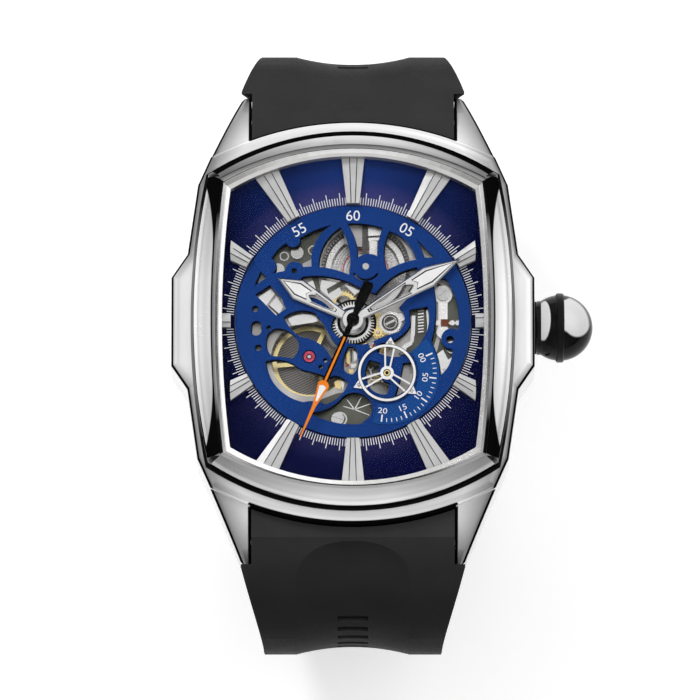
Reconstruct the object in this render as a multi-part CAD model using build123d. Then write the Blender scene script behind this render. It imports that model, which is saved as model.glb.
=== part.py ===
from build123d import *
from math import cos, sin, radians, degrees, atan2, sqrt, hypot
import os

# Tonneau skeleton wristwatch, in millimetres.
# +Z points to the dial, +Y to 12 o'clock, +X to the crown; z = 0 is the face of the case back.

# Clearances and shared sizes
CUT_OVERRUN = 1.0
SEAT_CLEAR = 0.02
RUN_CLEAR = 0.04
GAP_CLEAR = 0.15

# Driving size: the radius of the movement. Its wheels follow it by shares, and the case grows round it.
PLATE_R = 13.8
HOLDER_W = 1.5
HOLDER_R = PLATE_R + HOLDER_W
HOLDER_CLEAR = 0.03
CAVITY_R = HOLDER_R + HOLDER_CLEAR
LATTICE_MARGIN = 0.05
LATTICE_R = PLATE_R + LATTICE_MARGIN
DIAL_HOLE_CLEAR = 0.08
DIAL_HOLE_R = LATTICE_R + DIAL_HOLE_CLEAR

# Bezel, crystal and dial outlines
DIAL_SIDE_W = 1.47
APERTURE_X = DIAL_HOLE_R + DIAL_SIDE_W
APERTURE_TALL = 4.0
APERTURE_Y = APERTURE_X + APERTURE_TALL
APERTURE_CORNER_IN = 1.0
APERTURE_CORNER_X = APERTURE_X - APERTURE_CORNER_IN
APERTURE_CORNER_DOWN = 4.0
APERTURE_CORNER_Y = APERTURE_Y - APERTURE_CORNER_DOWN
BEZEL_SIDE_W = 3.4
BEZEL_X = APERTURE_X + BEZEL_SIDE_W
BEZEL_CORNER_W = 2.6
BEZEL_CORNER_X = APERTURE_CORNER_X + BEZEL_CORNER_W
BEZEL_CORNER_H = 1.8
BEZEL_CORNER_Y = APERTURE_CORNER_Y + BEZEL_CORNER_H
BEZEL_END_W = 3.0
BEZEL_Y = APERTURE_Y + BEZEL_END_W
BEZEL_TOP_Z = 13.4
BEZEL_ROUND = 1.7
BEZEL_LIP_Z = 11.7
CRYSTAL_MARGIN = 0.8
CRYSTAL_T = 1.5
GASKET_T = 0.35
DIAL_MARGIN = 0.7
INLAY_W = 0.9
INLAY_INNER_W = 0.15
INLAY_DEPTH = 0.35
DIAL_FLOOR_Z = 8.7
DIAL_RING_Z = 9.3
DIAL_EDGE_Z = 10.15
INDEX_TOP_Z = 10.55
INDEX_CLEAR = 0.12
INDEX_INNER_R = DIAL_HOLE_R + INDEX_CLEAR
INDEX_INNER_W = 1.5
INDEX_OUTER_W = 2.9
INDEX_GAP = 0.25
SIDE_INDEX_L = 1.0
SIDE_INDEX_W = 1.65
INDEX_BEVEL = 0.35

# Case outline
BUMP_PROUD = 2.6
BUMP_HALF_X = BEZEL_X + BUMP_PROUD
BUMP_HALF_Y = 5.3
SHOULDER_PROUD = 0.7
SHOULDER_X = BEZEL_X + SHOULDER_PROUD
SHOULDER_Y = 8.1
FLANK_IN = 0.5
FLANK_X = BEZEL_X - FLANK_IN
FLANK_Y = 16.4
SLOT_HALF_X = 12.05
LUG_TIP_W = 1.25
TIP_X = SLOT_HALF_X + LUG_TIP_W
END_LEDGE = 1.7
END_Y = BEZEL_Y + END_LEDGE
END_SAG = 2.15
LUG_L = 4.0
TIP_Y = END_Y + LUG_L
TIP_DROP_Y = 0.5
CASE_BOTTOM_Z = 0.5
CASE_TOP_Z = 10.2
CASE_EDGE = 1.1
LUG_EDGE = 0.8
LUG_CURVE_L = 12.1
LUG_START_Y = TIP_Y - LUG_CURVE_L
LUG_START_Z = 9.6
LUG_MID_L = 4.5
LUG_MID_Y = TIP_Y - LUG_MID_L
LUG_MID_Z = 7.3
LUG_TIP_TOP_Z = 3.4
LUG_TIP_LOW_Z = -1.5
LUG_UNDER_L = 10.1
LUG_UNDER_Y = TIP_Y - LUG_UNDER_L
LUG_UNDER_MID_L = 4.6
LUG_UNDER_MID_Y = TIP_Y - LUG_UNDER_MID_L
LUG_UNDER_MID_Z = 0.1

# Lattice and movement
LATTICE_Z = 9.2
LATTICE_T = 0.4
PLATE_Z = 7.2
PLATE_T = 1.0
HOLDER_Z = 3.7
HOLDER_TOP_Z = 8.5
BRIDGE_Z = 4.1
BRIDGE_T = 0.8
BRIDGE_WALL_SHARE = 0.07971
BRIDGE_WALL = PLATE_R * BRIDGE_WALL_SHARE
CAVITY_Z = 1.9
SCREW_R = 0.75
SCREW_HEAD_H = 0.35
SCREW_SHANK_R = 0.35
SCREW_SLOT_W = 0.2
SCREW_SLOT_DEPTH = 0.15
JEWEL_R_SHARE = 0.047101
JEWEL_R = PLATE_R * JEWEL_R_SHARE
JEWEL_T = 0.3
# Angles at which the bridges and their walls start and end
BARREL_BRIDGE_ANGLES = (13, 172)
BARREL_WALL_ANGLES = ((13, 60), (115, 172))
TRAIN_BRIDGE_ANGLES = (-95, 8)
TRAIN_WALL_ANGLES = (-90, -12)
COCK_ANGLES = (205, 239)
COCK_W_SHARE = 3.0
JEWEL_SMALL_SHARE = 0.5
JEWEL_SMALL_R = JEWEL_R * JEWEL_SMALL_SHARE

# Gear train: modules and tooth counts
PIVOT_R_SHARE = 0.011594
PIVOT_R = PLATE_R * PIVOT_R_SHARE
STAFF_R_SHARE = 0.015942
STAFF_R = PLATE_R * STAFF_R_SHARE
CENTRE_TEETH = 80
THIRD_PINION_TEETH = 10
CENTRE_MODULE_SHARE = 0.006051
CENTRE_MODULE = PLATE_R * CENTRE_MODULE_SHARE
THIRD_TEETH = 75
FOURTH_PINION_TEETH = 10
THIRD_MODULE_SHARE = 0.006407
THIRD_MODULE = PLATE_R * THIRD_MODULE_SHARE
FOURTH_TEETH = 84
ESCAPE_PINION_TEETH = 7
FOURTH_MODULE_SHARE = 0.005072
FOURTH_MODULE = PLATE_R * FOURTH_MODULE_SHARE
BARREL_TEETH = 72
CENTRE_PINION_TEETH = 12
BARREL_MODULE_SHARE = 0.011681
BARREL_MODULE = PLATE_R * BARREL_MODULE_SHARE
CANNON_TEETH = 12
MINUTE_WHEEL_TEETH = 36
MOTION_DISTANCE_SHARE = 0.231884
MOTION_DISTANCE = PLATE_R * MOTION_DISTANCE_SHARE
MINUTE_PINION_TEETH = 10
HOUR_TEETH = 40
RATCHET_TEETH = 54
CROWN_WHEEL_TEETH = 24
RATCHET_MODULE_SHARE = 0.014493
RATCHET_MODULE = PLATE_R * RATCHET_MODULE_SHARE
TOOTH_SHARE = 0.40
TOOTH_TIP_SHARE = 0.20
ADDENDUM_SHARE = 0.75
DEDENDUM_SHARE = 1.05

# Directions of the arbors, in degrees
BARREL_ANGLE = 77.2
THIRD_ANGLE = -46.3
FOURTH_FROM_THIRD_ANGLE = -68.1
ESCAPE_FROM_FOURTH_ANGLE = 174.6
MOTION_ANGLE = -22.0
BALANCE_X_SHARE = -0.373188
BALANCE_X = PLATE_R * BALANCE_X_SHARE
BALANCE_Y_SHARE = -0.304348
BALANCE_Y = PLATE_R * BALANCE_Y_SHARE
PALLET_DISTANCE_SHARE = 0.184783
PALLET_DISTANCE = PLATE_R * PALLET_DISTANCE_SHARE

# Levels of the wheels
BARREL_Z = 5.0
BARREL_TOP_Z = 6.25
BARREL_TEETH_Z = 5.75
BARREL_TEETH_T = 0.3
BARREL_R_SHARE = 0.384058
BARREL_R = PLATE_R * BARREL_R_SHARE
BARREL_WALL = 0.3
BARREL_FLOOR_T = 0.2
BARREL_HUB_R_SHARE = 0.065217
BARREL_HUB_R = PLATE_R * BARREL_HUB_R_SHARE
WHEEL_T = 0.15
WINDING_WHEEL_T = 0.3
CENTRE_PINION_Z = 5.6
CENTRE_PINION_TOP_Z = 6.2
CENTRE_WHEEL_Z = 6.35
THIRD_WHEEL_Z = 5.2
FOURTH_WHEEL_Z = 5.72
ESCAPE_WHEEL_Z = 6.35
PINION_H = 0.36
ARBOR_LOW_Z = 4.15
ARBOR_TOP_Z = 8.05
SPOKE_W_SHARE = 0.028986
SPOKE_W = PLATE_R * SPOKE_W_SHARE
RIM_W_SHARE = 0.030435
RIM_W = PLATE_R * RIM_W_SHARE
HUB_R_SHARE = 0.054348
HUB_R = PLATE_R * HUB_R_SHARE

# Escapement and balance
ESCAPE_R_SHARE = 0.137681
ESCAPE_R = PLATE_R * ESCAPE_R_SHARE
ESCAPE_TEETH = 15
ESCAPE_TIP_ANGLES = (8, 10)
ESCAPE_HEEL_ANGLE = 6
STONE_ANGLE = 37
ESCAPE_ROOT_R_SHARE = 0.105072
ESCAPE_ROOT_R = PLATE_R * ESCAPE_ROOT_R_SHARE
PALLET_T = 0.2
PALLET_ARM_W_SHARE = 0.023188
PALLET_ARM_W = PLATE_R * PALLET_ARM_W_SHARE
STONE_W_SHARE = 0.015942
STONE_W = PLATE_R * STONE_W_SHARE
STONE_L_SHARE = 0.039855
STONE_L = PLATE_R * STONE_L_SHARE
POST_ALONG_SHARE = 0.101449
POST_ALONG = PLATE_R * POST_ALONG_SHARE
POST_ACROSS_SHARE = 0.181159
POST_ACROSS = PLATE_R * POST_ACROSS_SHARE
POST_R_SHARE = 0.043478
POST_R = PLATE_R * POST_R_SHARE
BALANCE_R_SHARE = 0.315217
BALANCE_R = PLATE_R * BALANCE_R_SHARE
BALANCE_RIM_W_SHARE = 0.036232
BALANCE_RIM_W = PLATE_R * BALANCE_RIM_W_SHARE
BALANCE_Z = 5.05
BALANCE_RIM_T = 0.45
BALANCE_ARM_W_SHARE = 0.036232
BALANCE_ARM_W = PLATE_R * BALANCE_ARM_W_SHARE
PALLET_BRIDGE_W_SHARE = 2.0
PALLET_BRIDGE_W = BALANCE_ARM_W * PALLET_BRIDGE_W_SHARE
BALANCE_HUB_R_SHARE = 0.054348
BALANCE_HUB_R = PLATE_R * BALANCE_HUB_R_SHARE
BALANCE_STAFF_R_SHARE = 0.014493
BALANCE_STAFF_R = PLATE_R * BALANCE_STAFF_R_SHARE
BALANCE_ARMS = 3
BALANCE_ARM_ANGLE = 65
ROLLER_R_SHARE = 0.039855
ROLLER_R = PLATE_R * ROLLER_R_SHARE
HAIRSPRING_Z = 4.78
HAIRSPRING_WIRE = 0.12
HAIRSPRING_START_R_SHARE = 0.054348
HAIRSPRING_START_R = PLATE_R * HAIRSPRING_START_R_SHARE
HAIRSPRING_PITCH_SHARE = 0.04058
HAIRSPRING_PITCH = PLATE_R * HAIRSPRING_PITCH_SHARE
HAIRSPRING_LOOPS = 4
HAIRSPRING_STUD_R = 0.3
MAINSPRING_START_R_SHARE = 0.097826
MAINSPRING_START_R = PLATE_R * MAINSPRING_START_R_SHARE
MAINSPRING_PITCH_SHARE = 0.056522
MAINSPRING_PITCH = PLATE_R * MAINSPRING_PITCH_SHARE
MAINSPRING_STRIP_SHARE = 0.018841
MAINSPRING_STRIP = PLATE_R * MAINSPRING_STRIP_SHARE
MAINSPRING_LOOPS = 4
MAINSPRING_H = 0.85
COCK_T = 0.5

# Motion work and hands
CENTRE_TUBE_R_SHARE = 0.036232
CENTRE_TUBE_R = PLATE_R * CENTRE_TUBE_R_SHARE
CENTRE_BORE_R_SHARE = 0.02029
CENTRE_BORE_R = PLATE_R * CENTRE_BORE_R_SHARE
SECONDS_ARBOR_R_SHARE = 0.016667
SECONDS_ARBOR_R = PLATE_R * SECONDS_ARBOR_R_SHARE
CANNON_TUBE_R_SHARE = 0.049275
CANNON_TUBE_R = PLATE_R * CANNON_TUBE_R_SHARE
CANNON_Z = 8.3
CANNON_PINION_H = 0.32
CANNON_TOP_Z = 10.95
MINUTE_WHEEL_Z = 8.38
HOUR_WHEEL_Z = 8.74
HOUR_TUBE_R_SHARE = 0.068841
HOUR_TUBE_R = PLATE_R * HOUR_TUBE_R_SHARE
HOUR_TUBE_TOP_Z = 10.32
HOUR_HAND_Z = 10.02
MINUTE_HAND_Z = 10.56
SECONDS_HAND_Z = 11.1
HAND_T = 0.25
HAND_BEVEL = 0.16
HOUR_HAND_L_SHARE = 0.742754
HOUR_HAND_L = PLATE_R * HOUR_HAND_L_SHARE
HOUR_HAND_ANGLE = 150.0
HOUR_HUB_R_SHARE = 0.108696
HOUR_HUB_R = PLATE_R * HOUR_HUB_R_SHARE
MINUTE_HAND_L_SHARE = 1.061594
MINUTE_HAND_L = PLATE_R * MINUTE_HAND_L_SHARE
MINUTE_HAND_ANGLE = 30.0
MINUTE_HUB_R_SHARE = 0.097826
MINUTE_HUB_R = PLATE_R * MINUTE_HUB_R_SHARE
SECONDS_HAND_L_SHARE = 1.112319
SECONDS_HAND_L = PLATE_R * SECONDS_HAND_L_SHARE
SECONDS_HAND_ANGLE = 246.3
SECONDS_HUB_R_SHARE = 0.054348
SECONDS_HUB_R = PLATE_R * SECONDS_HUB_R_SHARE
SECONDS_HAND_T = 0.18
SUB_HAND_Z = 9.75
SUB_HAND_T = 0.15
SUB_RING_R_SHARE = 0.246377
SUB_RING_R = PLATE_R * SUB_RING_R_SHARE
SUB_RING_W_SHARE = 0.021739
SUB_RING_W = PLATE_R * SUB_RING_W_SHARE
SUB_TIP_R_SHARE = 0.311594
SUB_TIP_R = PLATE_R * SUB_TIP_R_SHARE
SUB_HUB_R_SHARE = 0.057971
SUB_HUB_R = PLATE_R * SUB_HUB_R_SHARE
SUB_TUBE_R_SHARE = 0.025362
SUB_TUBE_R = PLATE_R * SUB_TUBE_R_SHARE
SUB_ARM_W_SHARE = 0.014493
SUB_ARM_W = PLATE_R * SUB_ARM_W_SHARE
SUB_HAND_ANGLE = 84.0
SUB_TIP_SHARE = 0.95
SUB_ARM_SPREAD_SHARE = 0.75
SCALE_INNER_R_SHARE = 0.271739
SCALE_INNER_R = PLATE_R * SCALE_INNER_R_SHARE
SCALE_OUTER_R_SHARE = 0.445652
SCALE_OUTER_R = PLATE_R * SCALE_OUTER_R_SHARE
SCALE_T = 0.1
SCALE_START_ANGLE = -106.0
SCALE_END_ANGLE = 42.0

# Click and setting lever
CLICK_ANGLE = 168.0
CLICK_L_SHARE = 0.123188
CLICK_L = PLATE_R * CLICK_L_SHARE
LEVER_X_SHARE = 0.768116
LEVER_X = PLATE_R * LEVER_X_SHARE
LEVER_Y_SHARE = 0.246377
LEVER_Y = PLATE_R * LEVER_Y_SHARE
LEVER_W_SHARE = 0.07971
LEVER_W = PLATE_R * LEVER_W_SHARE
LEVER_SCREW_TURN = 40.0
LEVER_END_SHARE = 0.7

# Rotor and case back
ROTOR_Z = 2.1
ROTOR_WEB_T = 0.4
ROTOR_R_SHARE = 0.913043
ROTOR_R = PLATE_R * ROTOR_R_SHARE
ROTOR_WEIGHT_W_SHARE = 0.15942
ROTOR_WEIGHT_W = PLATE_R * ROTOR_WEIGHT_W_SHARE
ROTOR_WEIGHT_T = 1.2
ROTOR_HUB_R_SHARE = 0.188406
ROTOR_HUB_R = PLATE_R * ROTOR_HUB_R_SHARE
ROTOR_BORE_R_SHARE = 0.137681
ROTOR_BORE_R = PLATE_R * ROTOR_BORE_R_SHARE
ROTOR_HALF_ANGLE = 86.0
ROTOR_WINDOW_SHARE = 1.6
ROTOR_WINDOW_ANGLES = ((-160, -120), (-110, -70), (-60, -20))
BACK_LIP_W = 1.87
BACK_R = CAVITY_R + BACK_LIP_W
BACK_T = 1.5
BACK_GASKET_W = 0.33
BACK_NECK_R = CAVITY_R - BACK_GASKET_W
BACK_RING_W = 2.3
BACK_GLASS_R = BACK_NECK_R - BACK_RING_W
BACK_NECK_T = 0.35
BACK_SCREW_COUNT = 6
BACK_SCREW_START = 30
BACK_SCREW_EDGE = 1.1
BACK_SCREW_PITCH_R = BACK_R - BACK_SCREW_EDGE

# Stem and crown
STEM_Z = 5.5
STEM_R = 0.45
STEM_INNER_X_SHARE = 0.507246
STEM_INNER_X = PLATE_R * STEM_INNER_X_SHARE
WINDING_X_SHARE = 0.532609
WINDING_X = PLATE_R * WINDING_X_SHARE
WINDING_L = 1.3
WINDING_R = 1.4
WINDING_TEETH = 16
SLIDING_GAP = 0.25
SLIDING_L = 1.6
SLIDING_R = 1.0
SLIDING_GROOVE_SHARES = (0.4, 0.7)
TUBE_R = 1.3
TUBE_BORE_R = 0.8
TUBE_SEAT = 1.17
TUBE_INNER_X = CAVITY_R + TUBE_SEAT
TUBE_STAND = 0.6
TUBE_OUTER_X = BUMP_HALF_X + TUBE_STAND
CROWN_R = 3.9
CROWN_REACH = 3.0
CROWN_X = BUMP_HALF_X + CROWN_REACH
CROWN_NECK_R = 3.2
CROWN_GAP = 0.3
CROWN_NECK_X = BUMP_HALF_X + CROWN_GAP
CROWN_BORE_L = 1.5
CROWN_RING_R = 4.1
CROWN_RING_W = 1.0

# Strap loop, seen from the side
STRAP_T = 3.6
STRAP_END_T = 2.4
STRAP_START_GAP = 0.3
STRAP_START_Y = END_Y + STRAP_START_GAP
STRAP_START_Z = 6.3
STRAP_START_ANGLE = 34.0
STRAP_SIDE_R = 22.5
STRAP_LOWER_R = 27.0
STRAP_STEP = 2.75
ROOT_WALL = 0.8
ROOT_REACH = 4.0
ROOT_RISE = 0.6
STRAP_SHOULDER_HALF_W = 13.2
STRAP_TAPER_Z = 5.2
STRAP_LUG_HALF_W = 11.95
STRAP_SIDE_HALF_W = 10.6
STRAP_END_HALF_W = 10.0
CHANNEL_HALF_W = 6.75
CHANNEL_DEPTH = 0.9
CHANNEL_START = 0.4
CHANNEL_RAMP = 5.0
CHANNEL_END = 52.0
LADDER_START = 13.0
LADDER_HALF_W = 1.8
LADDER_BAR_W = 1.1
LADDER_PITCH = 2.6
LADDER_BARS = 7
LADDER_DEPTH = 0.3
BAR_R = 0.75
BAR_FROM_END = 1.1
BAR_Y = END_Y + BAR_FROM_END
BAR_Z = 2.6
BUCKLE_BAR_Y = 1.5
BUCKLE_BAR_R = 0.6
FRAME_ARM_W = 1.9
BOW_W = 2.4
BUCKLE_LENGTH = 9.5
TONGUE_W = 1.8
TONGUE_T = 0.9
TONGUE_RING_R = 1.15
TONGUE_KNEE = 3.4
KEEPER_W = 3.6
KEEPER_T = 1.3
FIRST_KEEPER = 4.2
SECOND_KEEPER = 17.0
TAIL_TURN = 48.0
HOLE_L = 4.6
HOLE_BACK = 1.7
HOLE_PITCH = 7.0
HOLE_COUNT = 5
HOLE_USED = 3
BASE_DROP = 5.9

# Windows of the lattice: corner, middle of arc, corner and so on, as shares of its radius.
# None in place of a middle makes that side straight.
UPPER_LEFT_SHARES = [
    (-0.690, 0.414), (-0.655, 0.474), (-0.693, 0.546), (-0.636, 0.627), (-0.568, 0.681),
    (-0.503, 0.645), (-0.452, 0.722), (-0.327, 0.790), (-0.185, 0.834), (-0.303, 0.715),
    (-0.351, 0.475), None, (-0.422, 0.471), (-0.499, 0.516), (-0.578, 0.438), None]
LEFT_PETAL_SHARES = [
    (-0.104, 0.817), (-0.040, 0.661), (-0.032, 0.404), (-0.164, 0.450), (-0.293, 0.471), (-0.246, 0.668)]
TOP_SHARES = [
    (-0.049, 0.848), (0.104, 0.845), (0.253, 0.810), (0.217, 0.688),
    (0.208, 0.563), (0.123, 0.584), (0.035, 0.542), (0.018, 0.702)]
RIGHT_PETAL_SHARES = [
    (0.310, 0.783), (0.461, 0.685), (0.537, 0.536), (0.418, 0.504), (0.289, 0.444), (0.262, 0.620)]
RIGHT_TRIANGLE_SHARES = [(0.547, 0.708), None, (0.693, 0.553), None, (0.608, 0.553), None]
LEFT_TRIANGLE_SHARES = [(-0.787, 0.433), None, (-0.731, 0.377), None, (-0.839, 0.309), None]
LEFT_QUAD_SHARES = [
    (-0.706, 0.316), None, (-0.598, 0.194), (-0.587, 0.146), (-0.568, 0.112), None,
    (-0.652, 0.052), None, (-0.831, 0.234), None]
CENTRE_SHARES = [
    (-0.429, 0.387), (-0.164, 0.381), (0.082, 0.279), None, (0.194, 0.241), (0.323, 0.377),
    (0.547, 0.469), (0.553, 0.349), (0.513, 0.255), None, (0.391, 0.119), (0.438, -0.006),
    (0.377, -0.094), None, (0.215, -0.148), (-0.002, -0.196), (-0.178, -0.074), (-0.178, 0.001),
    (-0.151, 0.041), (-0.232, 0.150), (-0.408, 0.214), (-0.462, 0.295)]
KEYLESS_SHARES = [
    (0.479, 0.102), None, (0.635, 0.129), (0.635, -0.060), (0.486, -0.270), (0.350, -0.307),
    (0.201, -0.261), None, (0.235, -0.185), (0.391, -0.135), (0.483, -0.033), None]
CRESCENT_SHARES = [
    (0.682, 0.309), (0.756, 0.377), (0.817, 0.322), (0.885, 0.160), (0.892, -0.081), (0.750, -0.155),
    (0.845, -0.236), (0.824, -0.358), (0.740, -0.467), (0.723, -0.331), (0.664, -0.169), (0.696, -0.003)]
BALANCE_UPPER_SHARES = [
    (-0.591, 0.034), (-0.476, 0.091), (-0.320, 0.072), (-0.246, -0.033), (-0.178, -0.155), None,
    (-0.110, -0.236), (-0.117, -0.291), (-0.178, -0.334), (-0.273, -0.203), (-0.449, -0.135), (-0.530, -0.060)]
BALANCE_LEFT_SHARES = [
    (-0.611, -0.063), (-0.706, -0.087), (-0.736, -0.148), (-0.731, -0.236), (-0.690, -0.297), None,
    (-0.517, -0.320), (-0.469, -0.263), (-0.460, -0.189), (-0.517, -0.108)]
BALANCE_LOWER_SHARES = [
    (-0.744, -0.345), (-0.598, -0.334), (-0.449, -0.412), None, (-0.313, -0.446), None, (-0.205, -0.480),
    (-0.110, -0.477), (-0.040, -0.534), (-0.110, -0.643), (-0.232, -0.717), (-0.313, -0.690),
    (-0.419, -0.697), (-0.625, -0.589)]
ESCAPE_SHARES = [
    (-0.043, -0.216), (0.025, -0.236), (0.039, -0.304), (0.032, -0.412), (-0.002, -0.460),
    (-0.056, -0.440), (-0.086, -0.399), (-0.080, -0.304)]
BOTTOM_SHARES = [
    (-0.384, -0.785), (-0.232, -0.758), (-0.110, -0.673), (-0.002, -0.613), (0.106, -0.645),
    (0.165, -0.731), (0.147, -0.819), None, (0.066, -0.886), (-0.137, -0.876)]
SUB_LEFT_SHARES = [
    (0.140, -0.331), None, (0.235, -0.361), None, (0.215, -0.433), None, (0.249, -0.507), None,
    (0.316, -0.534), None, (0.289, -0.629), (0.174, -0.602), (0.113, -0.494), (0.106, -0.412)]
SUB_RIGHT_SHARES = [
    (0.425, -0.356), None, (0.499, -0.352), (0.526, -0.467), (0.459, -0.589), None,
    (0.350, -0.656), None, (0.394, -0.507), None]
WINDOWS = [
    UPPER_LEFT_SHARES, LEFT_PETAL_SHARES, TOP_SHARES, RIGHT_PETAL_SHARES, RIGHT_TRIANGLE_SHARES,
    LEFT_TRIANGLE_SHARES, LEFT_QUAD_SHARES, CENTRE_SHARES, KEYLESS_SHARES, CRESCENT_SHARES,
    BALANCE_UPPER_SHARES, BALANCE_LEFT_SHARES, BALANCE_LOWER_SHARES, ESCAPE_SHARES, BOTTOM_SHARES,
    SUB_LEFT_SHARES, SUB_RIGHT_SHARES]
# Round holes of the lattice: x, y and radius, as shares of its radius
HOLE_SHARES = [
    (-0.831, 0.109, 0.028), (-0.822, -0.040, 0.045), (-0.822, -0.078, 0.045), (-0.804, -0.227, 0.028),
    (-0.716, -0.054, 0.020), (-0.235, -0.335, 0.019), (-0.273, -0.392, 0.019), (0.161, -0.203, 0.029),
    (0.824, -0.155, 0.032), (-0.499, 0.438, 0.024)]
SMILE_R_SHARE = 0.118
SMILE_W_SHARE = 0.02
SMILE_ANGLES = (-150, -30)

# Hands: along and across the hand, as shares of its length; across is given for one side
HOUR_SHARES = [(0.02, 0.050), (0.15, 0.055), (0.73, 0.125), (1.0, 0.0)]
HOUR_SLOT_SHARES = [(0.26, 0.012), (0.36, 0.032), (0.52, 0.048), (0.58, 0.012)]
MINUTE_SHARES = [(0.02, 0.036), (0.11, 0.040), (0.70, 0.088), (1.0, 0.0)]
MINUTE_SLOT_SHARES = [(0.16, 0.010), (0.22, 0.020), (0.50, 0.040), (0.56, 0.010)]
SECONDS_SHARES = [
    (-0.315, 0.026), (-0.295, 0.042), (-0.16, 0.040), (-0.06, 0.022), (0.53, 0.022),
    (0.555, 0.046), (0.74, 0.014), (1.0, 0.005)]


def polar(r, angle, x=0.0, y=0.0):
    return (x + r * cos(radians(angle)), y + r * sin(radians(angle)))


def rod(r, z0, z1, x=0.0, y=0.0):
    return Pos(x, y, z0) * Cylinder(r, z1 - z0, align=(Align.CENTER, Align.CENTER, Align.MIN))


def ring(r_out, r_in, z0, z1, x=0.0, y=0.0):
    return rod(r_out, z0, z1, x, y) - rod(r_in, z0 - CUT_OVERRUN, z1 + CUT_OVERRUN, x, y)


def rod_x(r, x0, x1, y=0.0, z=0.0):
    return Pos(x0, y, z) * Rot(0, 90, 0) * Cylinder(r, x1 - x0, align=(Align.CENTER, Align.CENTER, Align.MIN))


def block(x0, x1, y0, y1, z0, z1):
    lowest = (Align.MIN, Align.MIN, Align.MIN)
    return Pos(x0, y0, z0) * Box(x1 - x0, y1 - y0, z1 - z0, align=lowest)


def prism(face, z0, z1):
    return Pos(0, 0, z0) * extrude(face, z1 - z0, dir=(0, 0, 1))


def prism_x(face, half_width):
    return extrude(face, half_width, dir=(1, 0, 0), both=True)


def polygon(points):
    return make_face(Polyline(*points, close=True))


def arc_outline(points):
    # corner, middle, corner, middle: the last side returns to the first corner
    edges = []
    count = len(points)
    for i in range(0, count, 2):
        start = points[i]
        middle = points[i + 1]
        end = points[(i + 2) % count]
        if middle is None:
            edges.append(Line(start, end))
        else:
            edges.append(ThreePointArc(start, middle, end))
    return make_face(edges)


def scaled(shares, size, x=0.0, y=0.0):
    return [None if p is None else (x + p[0] * size, y + p[1] * size) for p in shares]


def tonneau(mid_x, corner_x, corner_y, mid_y):
    return arc_outline([
        (corner_x, -corner_y), (mid_x, 0), (corner_x, corner_y), (0, mid_y),
        (-corner_x, corner_y), (-mid_x, 0), (-corner_x, -corner_y), (0, -mid_y)])


def grown_aperture(margin):
    return tonneau(
        APERTURE_X + margin, APERTURE_CORNER_X + margin, APERTURE_CORNER_Y + margin, APERTURE_Y + margin)


def bar_face(x0, y0, x1, y1, width):
    length = hypot(x1 - x0, y1 - y0)
    angle = degrees(atan2(y1 - y0, x1 - x0))
    return Pos((x0 + x1) / 2, (y0 + y1) / 2) * Rot(0, 0, angle) * Rectangle(length, width)


def sector(radius, start, end, x=0.0, y=0.0):
    middle = (start + end) / 2
    edges = [
        Line((x, y), polar(radius, start, x, y)),
        ThreePointArc(polar(radius, start, x, y), polar(radius, middle, x, y), polar(radius, end, x, y)),
        Line(polar(radius, end, x, y), (x, y))]
    return make_face(edges)


def gear_face(teeth, module, phase, x=0.0, y=0.0):
    pitch_r = teeth * module / 2
    pitch_angle = 360 / teeth
    tip_r = pitch_r + module * ADDENDUM_SHARE
    root_r = pitch_r - module * DEDENDUM_SHARE
    base_half = pitch_angle * TOOTH_SHARE / 2
    tip_half = pitch_angle * TOOTH_TIP_SHARE / 2
    points = []
    for i in range(teeth):
        middle = phase + i * pitch_angle
        points.append(polar(root_r, middle - base_half, x, y))
        points.append(polar(tip_r, middle - tip_half, x, y))
        points.append(polar(tip_r, middle + tip_half, x, y))
        points.append(polar(root_r, middle + base_half, x, y))
    return polygon(points)


def meshed_phase(phase, teeth, angle, other_teeth):
    # phase of a gear that lies at this angle from the first one, so that a gap meets a tooth
    return angle + 180 - (phase - angle) * teeth / other_teeth + 180 / other_teeth


def spoked(face, hub_r, rim_inner_r, spoke_w, spokes, turn, x=0.0, y=0.0):
    gaps = Pos(x, y) * (Circle(rim_inner_r) - Circle(hub_r))
    for i in range(spokes):
        gaps -= Pos(x, y) * Rot(0, 0, turn + i * 360 / spokes) * Pos(rim_inner_r / 2, 0) * Rectangle(
            rim_inner_r + spoke_w, spoke_w)
    return face - gaps


def spoked_wheel(teeth, module, phase, z0, x, y, spokes, turn, rim_w=RIM_W):
    face = gear_face(teeth, module, phase, x, y)
    rim_inner_r = teeth * module / 2 - module * DEDENDUM_SHARE - rim_w
    face = spoked(face, HUB_R, rim_inner_r, SPOKE_W, spokes, turn, x, y)
    return prism(face, z0, z0 + WHEEL_T)


# Places of the arbors
BARREL_DISTANCE = (BARREL_TEETH + CENTRE_PINION_TEETH) * BARREL_MODULE / 2
BARREL_X, BARREL_Y = polar(BARREL_DISTANCE, BARREL_ANGLE)
THIRD_DISTANCE = (CENTRE_TEETH + THIRD_PINION_TEETH) * CENTRE_MODULE / 2
THIRD_X, THIRD_Y = polar(THIRD_DISTANCE, THIRD_ANGLE)
FOURTH_DISTANCE = (THIRD_TEETH + FOURTH_PINION_TEETH) * THIRD_MODULE / 2
FOURTH_X, FOURTH_Y = polar(FOURTH_DISTANCE, FOURTH_FROM_THIRD_ANGLE, THIRD_X, THIRD_Y)
ESCAPE_DISTANCE = (FOURTH_TEETH + ESCAPE_PINION_TEETH) * FOURTH_MODULE / 2
ESCAPE_X, ESCAPE_Y = polar(ESCAPE_DISTANCE, ESCAPE_FROM_FOURTH_ANGLE, FOURTH_X, FOURTH_Y)
BALANCE_ANGLE = degrees(atan2(BALANCE_Y - ESCAPE_Y, BALANCE_X - ESCAPE_X))
PALLET_X, PALLET_Y = polar(PALLET_DISTANCE, BALANCE_ANGLE, ESCAPE_X, ESCAPE_Y)
MOTION_X, MOTION_Y = polar(MOTION_DISTANCE, MOTION_ANGLE)
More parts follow.
